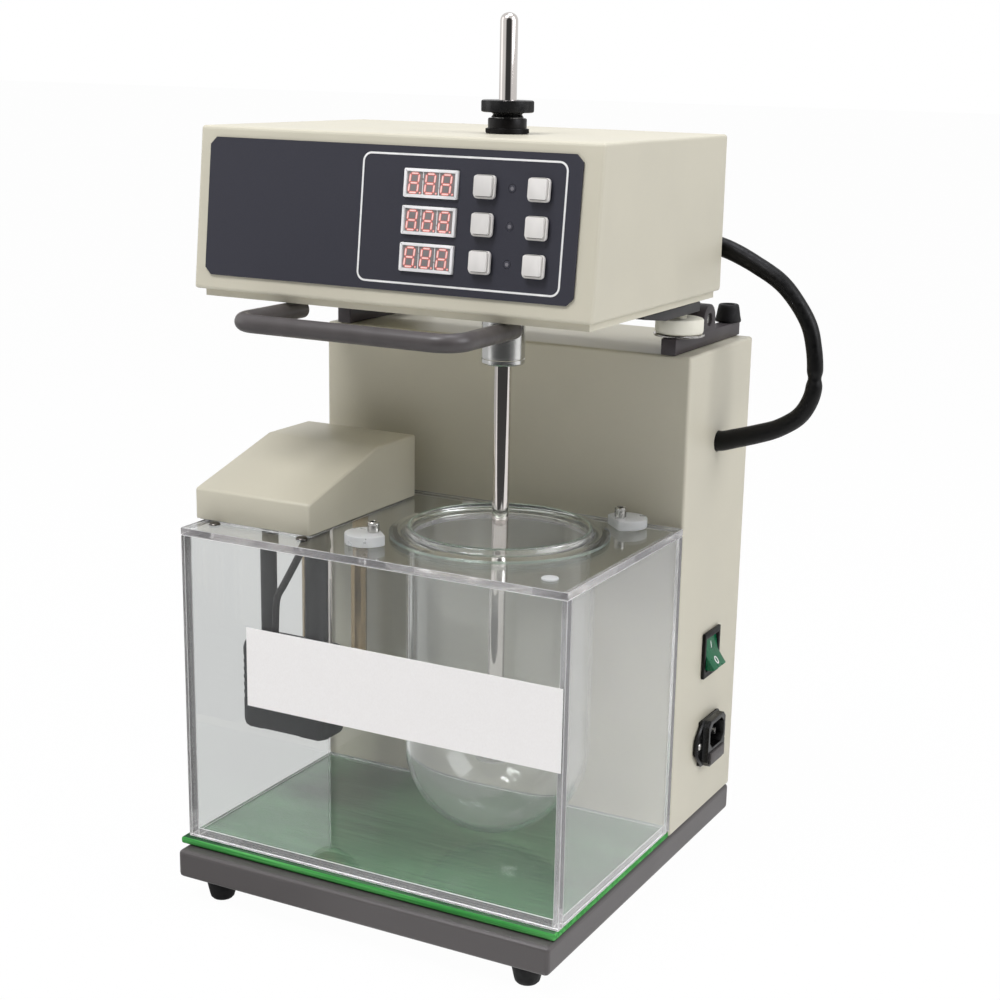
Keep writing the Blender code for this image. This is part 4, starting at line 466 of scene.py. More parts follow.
# The vessel's glass is milky partly from dust and partly as painted reflection, less so at the mouth.
mouth_glass = see_through("mouth_glass", (0.97, 0.985, 0.965), 1.47, 0.01, 0.04, 0.99)
vessel_glass = see_through("vessel_glass", (0.975, 0.98, 0.965), 1.47, 0.01, 0.05, 0.95)


def frosted(name, colour, transmission, roughness, size):
    finish = Finish(name, transmission_weight=transmission, ior=1.46)
    cloud = finish.grain(size, 3)
    finish.set(base_color=finish.blend(cloud, shade(colour, 0.94), colour))
    finish.set(roughness=finish.between(cloud, 0.3, 0.7, roughness - 0.04, roughness + 0.06))
    return finish.material


sawn_acrylic = frosted("sawn_acrylic", (0.9, 0.875, 0.87), 0.8, 0.15, 6.0)
edge_line = frosted("edge_line", (0.94, 0.92, 0.91), 0.5, 0.35, 6.0)
rim_glass = frosted("ground_glass", (0.72, 0.9, 0.76), 0.85, 0.12, 8.0)
milky_nylon = frosted("milky_nylon", (0.97, 0.98, 0.97), 0.5, 0.3, 14.0)
print("clear materials", 8)

# %% [markdown]
# The mat under the bath is a sheet of green foam with fine ribs from its extrusion. The ribs run across
# the tester, and the colour is a little uneven from rib to rib. The sheet on the bath is plain matt
# paper. The panel film has a fine matt grain, and the circuit boards have a green mask over copper
# tracks.

# %% Foam, paper, film and board
def foam(name, dark, light):
    finish = Finish(name, specular_ior_level=0.2)
    rib = finish.grain(1.6, 2, (0.02, 1, 1))
    patch = finish.grain(30, 3, (0.3, 1, 1))
    tone = finish.between(rib * 0.8 + patch * 0.2, 0.38, 0.62)
    finish.set(base_color=finish.blend(tone, dark, light))
    finish.set(roughness=finish.between(rib, 0.3, 0.7, 0.72, 0.9))
    finish.bump(rib + finish.grain(0.5, 2) * 0.4, 0.12)
    return finish.material


def paper():
    finish = Finish("blank_paper")
    fibre = finish.grain(0.7, 4, (1, 1, 0.6))
    finish.set(base_color=finish.blend(fibre, rgb(240, 237, 232), rgb(250, 248, 244)), roughness=0.7)
    finish.bump(fibre + finish.grain(25, 2) * 2.0, 0.03)
    return finish.material


def film():
    finish = Finish("panel_film", specular_ior_level=0.3)
    speck = finish.grain(0.45, 2)
    finish.set(base_color=finish.blend(speck, rgb(48, 48, 56), rgb(58, 58, 66)))
    finish.set(roughness=finish.between(finish.grain(30, 3), 0.3, 0.7, 0.36, 0.48))
    finish.bump(speck, 0.012)
    return finish.material


def circuit_board():
    finish = Finish("circuit_board", roughness=0.4)
    settings = {"feature": "DISTANCE_TO_EDGE"}
    cells = finish.node("ShaderNodeTexVoronoi", settings, {"Vector": finish.place(), "Scale": 160.0})
    track = finish.between(cells, 0.04, 0.08, 1.0, 0.0)
    finish.set(base_color=finish.blend(track, rgb(20, 82, 44), rgb(58, 128, 72)))
    finish.bump(track, 0.03)
    return finish.material


green_foam = foam("green_foam", rgb(54, 140, 62), rgb(92, 174, 94))
# Painted shade: a darker copy of the foam for the mat's top, which lies in the bath's shade.
shaded_foam = foam("painted_shade_green_foam", rgb(38, 76, 48), rgb(74, 110, 78))
blank_paper = paper()
panel_film = film()
green_board = circuit_board()
print("foams, paper, film and board", 5)

# %% [markdown]
# Most of the hidden working parts, and the plain covers, already have the right shape in the packed
# model. They keep it, and take their finish from the slot that the record gives them.

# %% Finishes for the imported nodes
SLOT_FINISH = {
    "beige_paint": warm_coat,
    "dark_paint": tray_coat,
    "hinge_paint": hinge_coat,
    "black_paint": arm_coat,
    "rubber": black_rubber,
    "green_foam": green_foam,
    "black_plastic": black_plastic,
    "grey_plastic": grey_plastic,
    "green_plastic": moulded("switch_green", rgb(16, 112, 74), 0.3),
    "green_board": green_board,
    "steel": screw_steel,
    "aluminium": turned_aluminium,
    "nylon": cream_nylon,
    "white_nylon": milky_nylon,
    "white_plastic": white_plastic,
    "grey_button": key_plastic,
    "grey_grip": grip_vinyl,
    "dark_overlay": panel_film,
    "dark_lens": moulded("dark_lens", rgb(88, 86, 92), 0.2),
    "clear_acrylic": clear_acrylic,
    "glass": vessel_glass,
    "paper": blank_paper,
}

for name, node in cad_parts.items():
    for held in node.material_slots:
        held.material = SLOT_FINISH[held.material.name.split(".")[0]]
print("nodes with a finish", len(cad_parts))

# %% [markdown]
# Every new piece goes the same way at the end. It gets its finish, it rides on the body that moves it,
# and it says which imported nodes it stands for, so that these are hidden.

# %% Handing a piece over
def hand_over(piece, finish, body, nodes=()):
    """Gives a piece its finish, lets it ride on a body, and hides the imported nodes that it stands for."""
    if not piece.data.materials:
        piece.data.materials.append(finish)
    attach(piece, body)
    if nodes:
        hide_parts(*nodes)
    print(piece.name, len(piece.data.polygons) if piece.type == "MESH" else "curve")


# %% [markdown]
# A black sleeve carries the head's wires out of its back, round in a loop and into the column's side. It
# is stiff, so it stands out on its own. A smooth curve runs through the points of its route, and a round
# tube follows it, which is drawn thinner towards its middle and has a fold at its outermost bend.

# %% The cable sleeve
SLEEVE_ROUTE = [
    (106.0, 78.5, 393.8), (106.2, 83.6, 393.6), (108.8, 89.4, 393.1), (114.4, 92.4, 392.1),
    (125.0, 92.8, 389.0), (139.8, 92.4, 382.5), (156.1, 92.0, 373.4), (167.7, 91.6, 361.7),
    (176.0, 91.2, 348.7), (179.8, 91.0, 334.6), (181.1, 90.8, 321.4), (180.2, 90.6, 308.3),
    (173.7, 90.5, 295.8), (161.1, 90.4, 286.9), (147.2, 90.2, 281.6), (133.5, 90.2, 277.3),
    (125.7, 90.2, 275.0), (119.6, 90.2, 274.6),
]
SLEEVE_RADIUS = 6.2 * MM


def through(route, steps):
    """Points along a smooth curve through a route in millimetres, given in metres."""
    points = [Vector(place) * MM for place in route]
    points = [2 * points[0] - points[1], *points, 2 * points[-1] - points[-2]]
    found = []
    for before, near, far, after in zip(points, points[1:], points[2:], points[3:]):
        for i in range(steps):
            t = i / steps
            first = 2 * near + (far - before) * t
            second = (2 * before - 5 * near + 4 * far - after) * t**2
            third = (3 * near - 3 * far + after - before) * t**3
            found.append((first + second + third) / 2)
    return [*found, points[-2]]


def bar_along(name, points, radius, resolution=8):
    """A round bar that follows points, as a curve of one open spline."""
    curve = bpy.data.curves.new(name, "CURVE")
    curve.dimensions = "3D"
    curve.bevel_depth = radius
    curve.bevel_resolution = resolution
    curve.use_fill_caps = True
    spline = curve.splines.new("POLY")
    spline.points.add(len(points) - 1)
    for point, place in zip(spline.points, points):
        point.co = (*place, 1)
    made = bpy.data.objects.new(name, curve)
    bpy.context.scene.collection.objects.link(made)
    return made


def length_of(points):
    return sum((b - a).length for a, b in zip(points, points[1:]))


def as_mesh(piece):
    """Turns a curve into a mesh with its caps joined to its sides."""
    only(piece)
    bpy.ops.object.convert(target="MESH")
    choose(piece, "VERT", lambda point: True)
    bpy.ops.mesh.remove_doubles(threshold=1e-6)
    bpy.ops.mesh.normals_make_consistent(inside=False)
    close()
    piece.data.materials.clear()
    return piece


sleeve_path = through(SLEEVE_ROUTE, 8)
sleeve = as_mesh(bar_along("wire_sleeve", sleeve_path, SLEEVE_RADIUS))
for vertex in sleeve.data.vertices:
    i = min(range(len(sleeve_path)), key=lambda i: (sleeve_path[i] - vertex.co).length)
    share = i / (len(sleeve_path) - 1)
    away = vertex.co - sleeve_path[i]
    crumple = noise.noise(vertex.co * 55) * 0.45 + noise.noise(vertex.co * 160) * 0.18
    slim = 0.2 * sin(pi * share) ** 2 + 0.16 * exp(-(((share - 0.6) / 0.012) ** 2))
    vertex.co = sleeve_path[i] + away * (0.98 + 0.05 * crumple - slim)
bpy.ops.object.shade_smooth_by_angle(angle=radians(50))
sleeve.data.materials.append(sleeve_rubber)
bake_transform(sleeve)
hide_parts("cable_sleeve")
length_of(sleeve_path)
print("sleeve length", round(length_of(sleeve_path), 4))

# %% [markdown]
# The pump's lead is a thin rubber cord. It comes straight up out of the pump's top, leans forward against
# the riser tube and goes up into the heater's base plate, and it stays a curve.

# %% The pump's lead
LEAD_ROUTE = [
    (-97.0, -61.5, 151.8), (-96.4, -61.8, 163.0), (-93.9, -63.5, 179.9), (-86.4, -67.5, 190.2),
    (-74.5, -74.5, 204.8), (-65.2, -80.5, 216.2), (-58.6, -85.5, 225.4), (-57.6, -86.3, 230.3),
]
LEAD_RADIUS = 2.2 * MM
lead_path = through(LEAD_ROUTE, 4)
lead = bar_along("pump_feed_lead", lead_path, LEAD_RADIUS, 5)
hand_over(lead, black_rubber, "stand", ["pump_lead"])
length_of(lead_path)
print("lead length", round(length_of(lead_path), 4))

# %% [markdown]
# The photograph has a white ground with hardly any shadow. The floor and the world are white to the eye,
# and nearly so to the rays that go through glass, but the world lights the tester only gently. Shiny
# surfaces see a floor that is dimmer close by on the left, and that ends before it reaches the
# photographer, whose side of the room is dark. So a dark stripe runs down the polished shaft, as it does
# on any shiny bar in a studio.

# %% Floor and world
TOWARD_CAMERA = Vector((0.457, -0.889, 0.0))


def white_floor():
    finish = Finish("studio_floor", base_color=(0.9, 0.9, 0.9), roughness=0.9)
    seen, bent, shiny = [finish.rays(kind) for kind in ("Camera", "Transmission", "Glossy")]
    ahead = finish.axis("X") * TOWARD_CAMERA.x + finish.axis("Y") * TOWARD_CAMERA.y
    side = finish.axis("X") - finish.axis("Y") * 0.514
    near = [finish.between(ahead, 0.28, 0.4, 0.5, 1.0), finish.between(side, 0.0, 0.06, 0.5, 1.0)]
    table = finish.maths("MAXIMUM", *near) * finish.between(ahead, 0.9, 0.96, 1.0, 0.05)
    strength = 1.0 - bent * 0.3 - shiny * (1.0 - bent) * (1.0 - table)
    glow = finish.node("ShaderNodeEmission", sockets={"Color": (1, 1, 1), "Strength": strength})
    finish.mix_in(finish.maths("MINIMUM", seen + bent + shiny, 1.0) * 0.98, glow)
    return finish.material


def white_world():
    world = bpy.data.worlds.new("studio_world")
    world.use_nodes = True
    world.node_tree.nodes.clear()
    sky = Nodes(world.node_tree)
    direction = sky.node("ShaderNodeTexCoord", output="Generated")
    dot = {"operation": "DOT_PRODUCT"}
    toward = sky.node("ShaderNodeVectorMath", dot, {0: direction, 1: TOWARD_CAMERA}, "Value")
    mirrored = sky.mix(sky.rays("Glossy"), 0.21, sky.between(toward, 0.7, 0.88, 0.8, 0.05))
    seen = sky.maths("MAXIMUM", sky.rays("Camera"), sky.rays("Transmission") * 0.7)
    sockets = {"Color": (1, 1, 1), "Strength": sky.mix(seen, mirrored, 1.0)}
    glow = sky.node("ShaderNodeBackground", sockets=sockets)
    sky.fill(sky.tree.nodes.new("ShaderNodeOutputWorld").inputs["Surface"], glow)
    return world


bpy.ops.object.select_all(action="DESELECT")
bpy.ops.mesh.primitive_plane_add(size=1)
floor = bpy.context.active_object
floor.scale = (40, 40, 1)
settle(floor, "studio_floor")
floor.data.materials.append(white_floor())
bpy.context.scene.world = white_world()
print("floor and world")

# %% [markdown]
# One soft light hangs high in front and lights the head's front, and leaves the column's front in the
# head's own shadow. A second hangs right above and brightens the top. A weaker one stands at the right
# and opens up that side, and a faint one fills in from the left.

# %% Lamps
def softbox(name, place, width, height, power, colour=(1, 1, 1)):
    """A rectangular lamp that faces the tester."""
    data = bpy.data.lights.new(name, "AREA")
    data.color = colour
    data.shape = "RECTANGLE"
    data.size = width
    data.size_y = height
    data.energy = power
    lamp = bpy.data.objects.new(name, data)
    bpy.context.scene.collection.objects.link(lamp)
    lamp.location = place
    lamp.rotation_euler = (Vector((0, 0, 0.25)) - Vector(place)).to_track_quat("-Z", "Y").to_euler()


softbox("high_lamp", (-0.3, -1.0, 2.0), 0.8, 0.7, 29, (0.96, 0.96, 1.0))
softbox("top_lamp", (0.2, 0.3, 2.3), 0.9, 0.9, 13.5, (0.9, 0.91, 1.0))
softbox("right_lamp", (1.7, 0.1, 1.3), 1.0, 1.2, 19, (0.94, 0.945, 1.0))
softbox("left_lamp", (-1.6, -0.6, 0.9), 1.0, 1.2, 2.5)
print("lamps", 4)

# %% [markdown]
# The head's front leans back a little, so everything on it is made lying flat on the ground first,
# measured from the front's lower left corner, and then tipped up onto the front. An outline becomes one
# face, and extruding that face upwards makes a slab. A rounded rectangle is only an outline with arcs for
# corners.

# %% Working on the raked front
HEAD_CORNER = Vector((-127.083, -94.495, 366.8)) * MM
RAKE = atan2(10.4, 90)
PANEL = Matrix.Translation(HEAD_CORNER) @ Matrix.Rotation(pi / 2 - RAKE, 4, "X")
FILM_TOP = 1.1


def push(out):
    """Extrudes the selected face along z, by a length in millimetres."""
    bpy.ops.mesh.extrude_region_move(TRANSFORM_OT_translate={"value": (0, 0, out * MM)})


def slab(name, outline, low, high):
    """A flat outline in millimetres, extruded from one height to another."""
    mesh = bpy.data.meshes.new(name)
    mesh.from_pydata([(x * MM, y * MM, low * MM) for x, y in outline], [], [range(len(outline))])
    piece = bpy.data.objects.new(name, mesh)
    bpy.context.scene.collection.objects.link(piece)
    choose(piece, "FACE", lambda face: True)
    push(high - low)
    bpy.ops.mesh.select_all(action="SELECT")
    bpy.ops.mesh.normals_make_consistent(inside=False)
    close()
    return piece


def rounded(left, low, right, high, radius, steps=6):
    """The outline of a rectangle with rounded corners."""
    outline = []
    for x, y, first in ((right, high, 0), (left, high, 90), (left, low, 180), (right, low, 270)):
        centre_x = x - radius if x == right else x + radius
        centre_y = y - radius if y == high else y + radius
        for i in range(steps + 1):
            angle = radians(first + 90 * i / steps)
            outline.append((centre_x + radius * cos(angle), centre_y + radius * sin(angle)))
    return outline


def square(across, up, half, radius, steps=6):
    """The outline of a square with rounded corners about a middle."""
    return rounded(across - half, up - half, across + half, up + half, radius, steps)


def circle(across, up, radius, steps=32):
    """The outline of a circle about a middle."""
    angles = [2 * pi * i / steps for i in range(steps)]
    return [(across + radius * cos(angle), up + radius * sin(angle)) for angle in angles]


def joined(name, *pieces):
    """Several meshes as one piece."""
    only(pieces[0])
    for piece in pieces[1:]:
        piece.select_set(True)
    if len(pieces) > 1:
        bpy.ops.object.join()
    made = bpy.context.view_layer.objects.active
    made.name = made.data.name = name
    return made


def on_the_front(name, pieces, finish, nodes=(), body="head"):
    """Joins pieces that were made flat, tips them up onto the head's front and hands them over."""
    piece = joined(name, *pieces)
    piece.matrix_world = PANEL
    settle(piece, name)
    hand_over(piece, finish, body, nodes)


print("raked front", round(RAKE, 4))

# %% [markdown]
# A printed white line with round corners frames the controls on the panel's film. It is modelled as a
# thin ring, a rounded slab with a smaller one cut out of it, so that it stays crisp at any distance. The
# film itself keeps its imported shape.

# %% The white line round the controls
frame_line = slab("control_frame_line", rounded(108.7, 12.4, 231, 80.7, 5.2, 10), FILM_TOP, FILM_TOP + 0.08)
inner_line = slab("inner", rounded(109.75, 13.45, 229.95, 79.65, 4.2, 10), FILM_TOP - 1, FILM_TOP + 1)
carve(frame_line, inner_line)
line_ink = moulded("white_ink", rgb(236, 236, 232), 0.5, 0.3, 0.004)
on_the_front("control_frame_line", [frame_line], line_ink)

# %% [markdown]
# Each display is a white module with a sunken face, soldered to the board behind the panel. The module is
# a slab whose top is inset and pushed down. Three of them, and the board with its key switches, take the
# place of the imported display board.

# %% Display modules and their board
ROWS = (27.0, 46.3, 65.6)
KEY_COLUMNS = (184.8, 216.3)
MODULE_LEFT, MODULE_WIDTH, MODULE_HEIGHT = 135.7, 32.3, 15.0
MODULE_RIM = 1.45
BOARD_OUT = -13.6
SCREEN_FLOOR, MODULE_TOP = 1.9, 2.7


def display_module(name, middle):
    low, high = middle - MODULE_HEIGHT / 2, middle + MODULE_HEIGHT / 2
    outline = rounded(MODULE_LEFT, low, MODULE_LEFT + MODULE_WIDTH, high, 0.9, 4)
    module = slab(name, outline, BOARD_OUT, MODULE_TOP)
    choose(module, "FACE", lambda face: face.normal.z > 0.9)
    bpy.ops.mesh.inset(thickness=MODULE_RIM * MM)
    push(SCREEN_FLOOR - MODULE_TOP)
    close()
    return round_edges(module, 0.25 * MM, 2, 50)


modules = [display_module(f"module_{i}", middle) for i, middle in enumerate(ROWS)]
on_the_front("display_modules", modules, white_plastic)

board = slab("display_circuit_board", rounded(120, 14, 232, 78, 1.5), BOARD_OUT - 1.6, BOARD_OUT)
on_the_front("display_circuit_board", [board], green_board, ["display_board"])
places = [(across, up) for up in ROWS for across in KEY_COLUMNS]
switches = [slab("key", square(*place, 3.5, 0.6), BOARD_OUT, -9.7) for place in places]
on_the_front("key_switches", switches, black_plastic)

# %% [markdown]
# A numeral on such a display is seven separate bars behind a grey face, with a dot beside it. Every
# numeral is the same, so one bar is modelled, a long hexagon, and copied to seven places, and then to
# nine numerals. They lean to the right by a few degrees, and all of them show an eight. A narrower and
# paler bar on each of them stands for the bright middle of a lit one.

# %% Screens and numerals
NUMERAL_TALL, NUMERAL_WIDE, BAR = 10.0, 5.3, 1.35
LEAN = 0.09
SCREEN_TOP, BAR_TOP, CORE_TOP = 2.05, 2.11, 2.15
CELL = (MODULE_WIDTH - 2 * MODULE_RIM) / 3


def bar_outline(x, y, length, upright, width):
    half = width / 2
    long_side = length / 2 - half
    outline = [
        (-length / 2, 0), (-long_side, -half), (long_side, -half), (length / 2, 0), (long_side, half),
        (-long_side, half),
    ]
    if upright:
        outline = [(-b, a) for a, b in outline]
    return [(x + a, y + b) for a, b in outline]


def numeral(x, y, width=BAR, less=0.35, dot=0.65):
    """The outlines of seven bars and a dot about a middle."""
    tall, wide = NUMERAL_TALL / 2, NUMERAL_WIDE / 2
    flat = [(0, tall), (0, 0), (0, -tall)]
    tall_bars = [(side, level) for side in (-wide, wide) for level in (-tall / 2, tall / 2)]
    outlines = [bar_outline(a, b, NUMERAL_WIDE - less, False, width) for a, b in flat]
    outlines += [bar_outline(a, b, tall - less, True, width) for a, b in tall_bars]
    outlines.append(circle(wide + 1.7, -tall, dot, 8))
    return [[(x - 0.5 + a + LEAN * b, y + b) for a, b in outline] for outline in outlines]


screens, bars, cores = [], [], []
for up in ROWS:
    for i in range(3):
        left = MODULE_LEFT + MODULE_RIM + CELL * i
        outline = rounded(left + 0.3, up - 5.75, left + CELL - 0.3, up + 5.75, 0.3, 2)
        screens.append(slab("screen", outline, SCREEN_FLOOR, SCREEN_TOP))
        for outline in numeral(left + CELL / 2, up):
            bars.append(slab("bar", outline, SCREEN_TOP, BAR_TOP))
        for outline in numeral(left + CELL / 2, up, 0.72, 1.2, 0.35):
            cores.append(slab("core", outline, BAR_TOP, CORE_TOP))
screen_grey = moulded("screen_grey", rgb(132, 126, 124), 0.3, 0.4, 0.004)
on_the_front("display_screens", screens, screen_grey)


def lit(name, dark, light, glow):
    finish = Finish(name, roughness=0.4, emission_strength=0.25, emission_color=glow)
    finish.set(base_color=finish.blend(finish.grain(1.2, 2), dark, light))
    return finish.material


red = lit("numeral_red", rgb(196, 84, 76), rgb(214, 112, 102), (1.0, 0.25, 0.2))
pink = lit("numeral_pink", rgb(226, 190, 184), rgb(236, 208, 202), (1.0, 0.7, 0.66))
on_the_front("display_numerals", bars, red)
on_the_front("numeral_cores", cores, pink)

# %% [markdown]
# Between each display and its keys sits one small lamp. Its dark lens is a low drum with a rounded rim,
# nearly flush with the film, and a lighter dot in its middle is a painted highlight for the lens's glint.
# All three stand on one strip behind the panel, as they do in the imported model.

# %% Indicator lamps
LAMP_ACROSS = 199.6
strip = rounded(LAMP_ACROSS - 2, ROWS[0] - 4, LAMP_ACROSS + 2, ROWS[2] + 4, 0.4, 2)
lenses = [slab("strip", strip, -4.0, -2.2)]
for up in ROWS:
    lens = slab("lens", circle(LAMP_ACROSS, up, 2.0), -3.0, FILM_TOP + 0.1)
    lenses.append(round_edges(lens, 0.05 * MM))
lens_finish = moulded("lamp_lens", rgb(60, 60, 68), 0.45, 0.4, 0.004)
on_the_front("lamp_lenses", lenses, lens_finish, ["indicator_lamps"])
# Painted highlight: a lighter dot in each lens stands for its glint.
glint_dots = [slab("dot", circle(LAMP_ACROSS, up, 1.0, 16), FILM_TOP - 0.1, FILM_TOP + 0.15) for up in ROWS]
glint_finish = moulded("painted_lens_glint", rgb(118, 116, 120), 0.4, 0.4, 0.004)
on_the_front("lamp_glints", glint_dots, glint_finish)

# %% [markdown]
# Each of the six keys is a square cap in a wide skirt, with a groove between the two whose floor is
# painted black as shade, on a stem that goes back to its switch. The cap sits a little up and to the left
# in its skirt. One function makes all six, and each rides on its own body, so that it can be pressed.

# %% Keys
def key(name, across, up, body):
    skirt = slab(name, square(across, up, 6.1, 2.1, 5), 2.4, 4.0)
    groove = 3.7 * MM
    choose(skirt, "FACE", lambda face: face.normal.z > 0.9)
    bpy.ops.mesh.inset(thickness=0.6 * MM)
    bpy.ops.transform.translate(value=(-0.35 * MM, 0.4 * MM, 0))
    push(-0.5)
    bpy.ops.mesh.inset(thickness=0.25 * MM)
    push(2.0)
    close()
    round_edges(skirt, 0.12 * MM, 2, 40, 50)
    # Painted shade: the groove's floor takes the black finish.
    groove_shade = (black_plastic, lambda face: face.normal.z > 0.5 and face.center.z < groove)
    dressed(skirt, key_plastic, groove_shade)
    stem = slab("stem", square(across, up, 3, 0.5, 2), -8.4, 2.6)
    on_the_front(name, [skirt, stem], key_plastic, [body], body)


for up, kind in zip(ROWS, ("time", "speed", "temperature")):
    for across, way in zip(KEY_COLUMNS, ("down", "up")):
        key(f"{kind}_{way}_key", across, up, f"{kind}_{way}_button")

# %% [markdown]
# The black cap on top of the head has a toothed foot and a smooth drum, and the nut over it clamps the
# shaft. The nut's rim is knurled for the fingers. Both are turned from a profile. For the teeth, every
# second point of the rim is selected by its angle and scaled towards the axis, so the spin has two steps
# for every tooth.

# %% Top cap and chuck nut
SHAFT = Vector((37.717, -29.501, 0)) * MM


def ridged_at(piece, place, steps, low, high, reach, keep):
    """Pulls in every second point round a turned rim, between two heights and beyond a radius."""

    def every_second(point):
        x, y = point.co.x - place.x, point.co.y - place.y
        if (x * x + y * y) ** 0.5 < reach * MM or not low * MM < point.co.z < high * MM:
            return False
        return round(atan2(y, x) % (2 * pi) / (2 * pi) * steps) % 2 == 1

    choose(piece, "VERT", every_second)
    bpy.ops.transform.resize(value=(keep, keep, 1), center_override=place)
    close()
    return piece


cap_profile = [
    (7.8, 465.1), (9.9, 465.1), (10.4, 464.9), (10.6, 464.4), (10.6, 459.9), (11.1, 459.6), (11.6, 459.6),
    (11.9, 459.3), (11.9, 457.4), (11.7, 457.1), (9.6, 457.1), (9.6, 451.1), (7.8, 451.1), (7.8, 465.1),
]
cap = ridged_at(turned("shaft_cap", cap_profile, SHAFT, 144), SHAFT, 144, 457.3, 459.5, 11.75, 0.965)
hand_over(cap, black_plastic, "head", ["top_bearing_cap"])

nut_profile = [
    (5.15, 473.0), (5.15, 474.2), (6.4, 474.75), (13.5, 474.6), (14.15, 474.3), (14.4, 473.7),
    (14.4, 469.0), (14.15, 468.4), (13.5, 468.1), (9.0, 468.0), (7.9, 467.0), (8.9, 465.6),
    (8.9, 465.4), (7.8, 465.4), (7.8, 473.0), (5.15, 473.0),
]
nut = ridged_at(turned("knurled_nut", nut_profile, SHAFT, 144), SHAFT, 144, 468.5, 474.2, 14.0, 0.972)
nut_plastic = moulded("nut_plastic", rgb(26, 26, 27), 0.26, 0.4, 0.015)
hand_over(nut, nut_plastic, "chuck_nut", ["chuck_nut"])

# %% [markdown]
# The stirring shaft is a polished bar with a rounded top. At its foot it widens into the cap that the
# basket clips under. The basket is a cylinder of woven wire between two solid rims. Its wires are
# modelled by wrapping a gridded cylinder with the Wireframe modifier, which turns each edge into a thin
# bar.

# %% Stirring shaft and basket
shaft_profile = [
    (0, 520.4), (1.4, 520.2), (2.9, 519.6), (4.0, 518.6), (4.6, 517.4), (4.85, 516.0), (4.85, 141.3),
    (6.2, 140.6), (7.0, 139.2), (7.0, 132.6), (7.3, 132.3), (12.2, 132.3), (12.5, 132.0), (12.5, 129.6),
    (12.2, 129.3), (0, 129.3),
]
shaft = turned("polished_shaft", shaft_profile, SHAFT)
hand_over(shaft, polished_steel, "stirrer", ["stirring_shaft"])

top_rim = [(10.4, 129), (12.5, 129), (12.5, 126), (11.1, 126), (10.4, 126.2), (10.4, 129)]
low_rim = [(0, 95.0), (10.6, 95.0), (11.1, 95.6), (11.1, 94.3), (10.6, 94), (0, 94)]
rims = [turned("rim", profile, SHAFT, 48) for profile in (top_rim, low_rim)]
screen = drum("screen", 10.9 * MM, 95 * MM, 126.4 * MM, SHAFT, 56)
choose(screen, "FACE", lambda face: abs(face.normal.z) > 0.9)
bpy.ops.mesh.delete(type="ONLY_FACE")
close()


def upright(edge):
    first, second = [screen.data.vertices[i].co.z for i in edge.vertices]
    return abs(first - second) > 0.01


choose(screen, "EDGE", upright)
bpy.ops.mesh.subdivide(number_cuts=25)
close()
wires = screen.modifiers.new("wires", "WIREFRAME")
wires.thickness = 0.42 * MM
wires.use_even_offset = False
apply_all(screen)
hand_over(joined("wire_basket", screen, *rims), screw_steel, "stirrer", ["basket"])

# %% [markdown]
# The bearing housing under the head is a plain turned aluminium barrel. Its lower edge is chamfered and a
# shallow groove runs round it near the bottom, where the tool left it. Its flange sits on the head's base
# plate.

# %% Lower bearing housing
housing_profile = [
    (7.8, 371.8), (20.6, 371.8), (21, 371.4), (21, 367.2), (20.6, 366.8), (12.3, 366.8), (12.3, 334.4),
    (12.05, 334.1), (12.05, 333.7), (12.3, 333.4), (12.3, 331.3), (11.6, 330.5), (8.6, 330.5), (7.8, 331.3),
    (7.8, 371.8),
]
housing = turned("bearing_barrel", housing_profile, SHAFT, 80)
hand_over(housing, turned_aluminium, "head", ["lower_bearing_housing"])

# %% [markdown]
# The carry handle is a bent bar in a grey vinyl skin. It follows a route with two round bends, and its
# two ends, which lie under the head, are rounded off with a bevel.

# %% Carry handle
handle_z, handle_front, handle_back = 357.2, -136.5, -72.5
handle_left, handle_right, bend = -68.533, 66.967, 13.0
bar_radius = 5 * MM
route = [(handle_left, handle_back, handle_z)]
for centre_x, first in ((handle_left + bend, 180), (handle_right - bend, 270)):
    for i in range(13):
        angle = radians(first + 90 * i / 12)
        route.append((centre_x + bend * cos(angle), handle_front + bend + bend * sin(angle), handle_z))
route.append((handle_right, handle_back, handle_z))
handle = as_mesh(bar_along("vinyl_handle", [Vector(place) * MM for place in route], bar_radius, 10))
hand_over(round_edges(handle, 2.2 * MM, 4, 50, 45), grip_vinyl, "head", ["carry_handle"])

# %% [markdown]
# The head rocks on two steel pins at the back of the column. Each hinge is a cast bracket with a round
# ear, and beside it an arm from under the head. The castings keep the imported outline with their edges
# rounded.

# %% Hinge castings
for side in ("left", "right"):
    bracket = round_edges(copied(f"hinge_bracket_{side}", f"hinge_block_{side}"), 0.7 * MM, 2, 40)
    hand_over(bracket, hinge_coat, "stand", [f"hinge_block_{side}"])
    arm = round_edges(copied(f"tilt_arm_{side}", f"hinge_arm_{side}"), 0.5 * MM, 2, 40)
    hand_over(arm, arm_coat, "head", [f"hinge_arm_{side}"])

# %% [markdown]
# In front of each hinge stands a nylon pad on a steel washer, which the head comes down on, and behind it
# a hollow rubber stop, which the head meets when it is tilted back. All three are turned, with heights
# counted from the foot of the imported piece.

# %% Rest pads and rubber stops
pad_profile = [
    (0, 13.8), (3.6, 13.8), (4, 13.4), (4, 10.5), (12.6, 10.5), (13.7, 10.1), (14.2, 9.2), (14.2, 2.9),
    (13.7, 1.8), (12.8, 1.3), (0, 1.3),
]
washer_profile = [(0, 1.3), (14.7, 1.3), (15, 1.0), (15, 0.3), (14.7, 0), (0, 0)]


def standing(profile, foot):
    """A profile with its heights counted from a foot."""
    return [(radius, foot + height) for radius, height in profile]


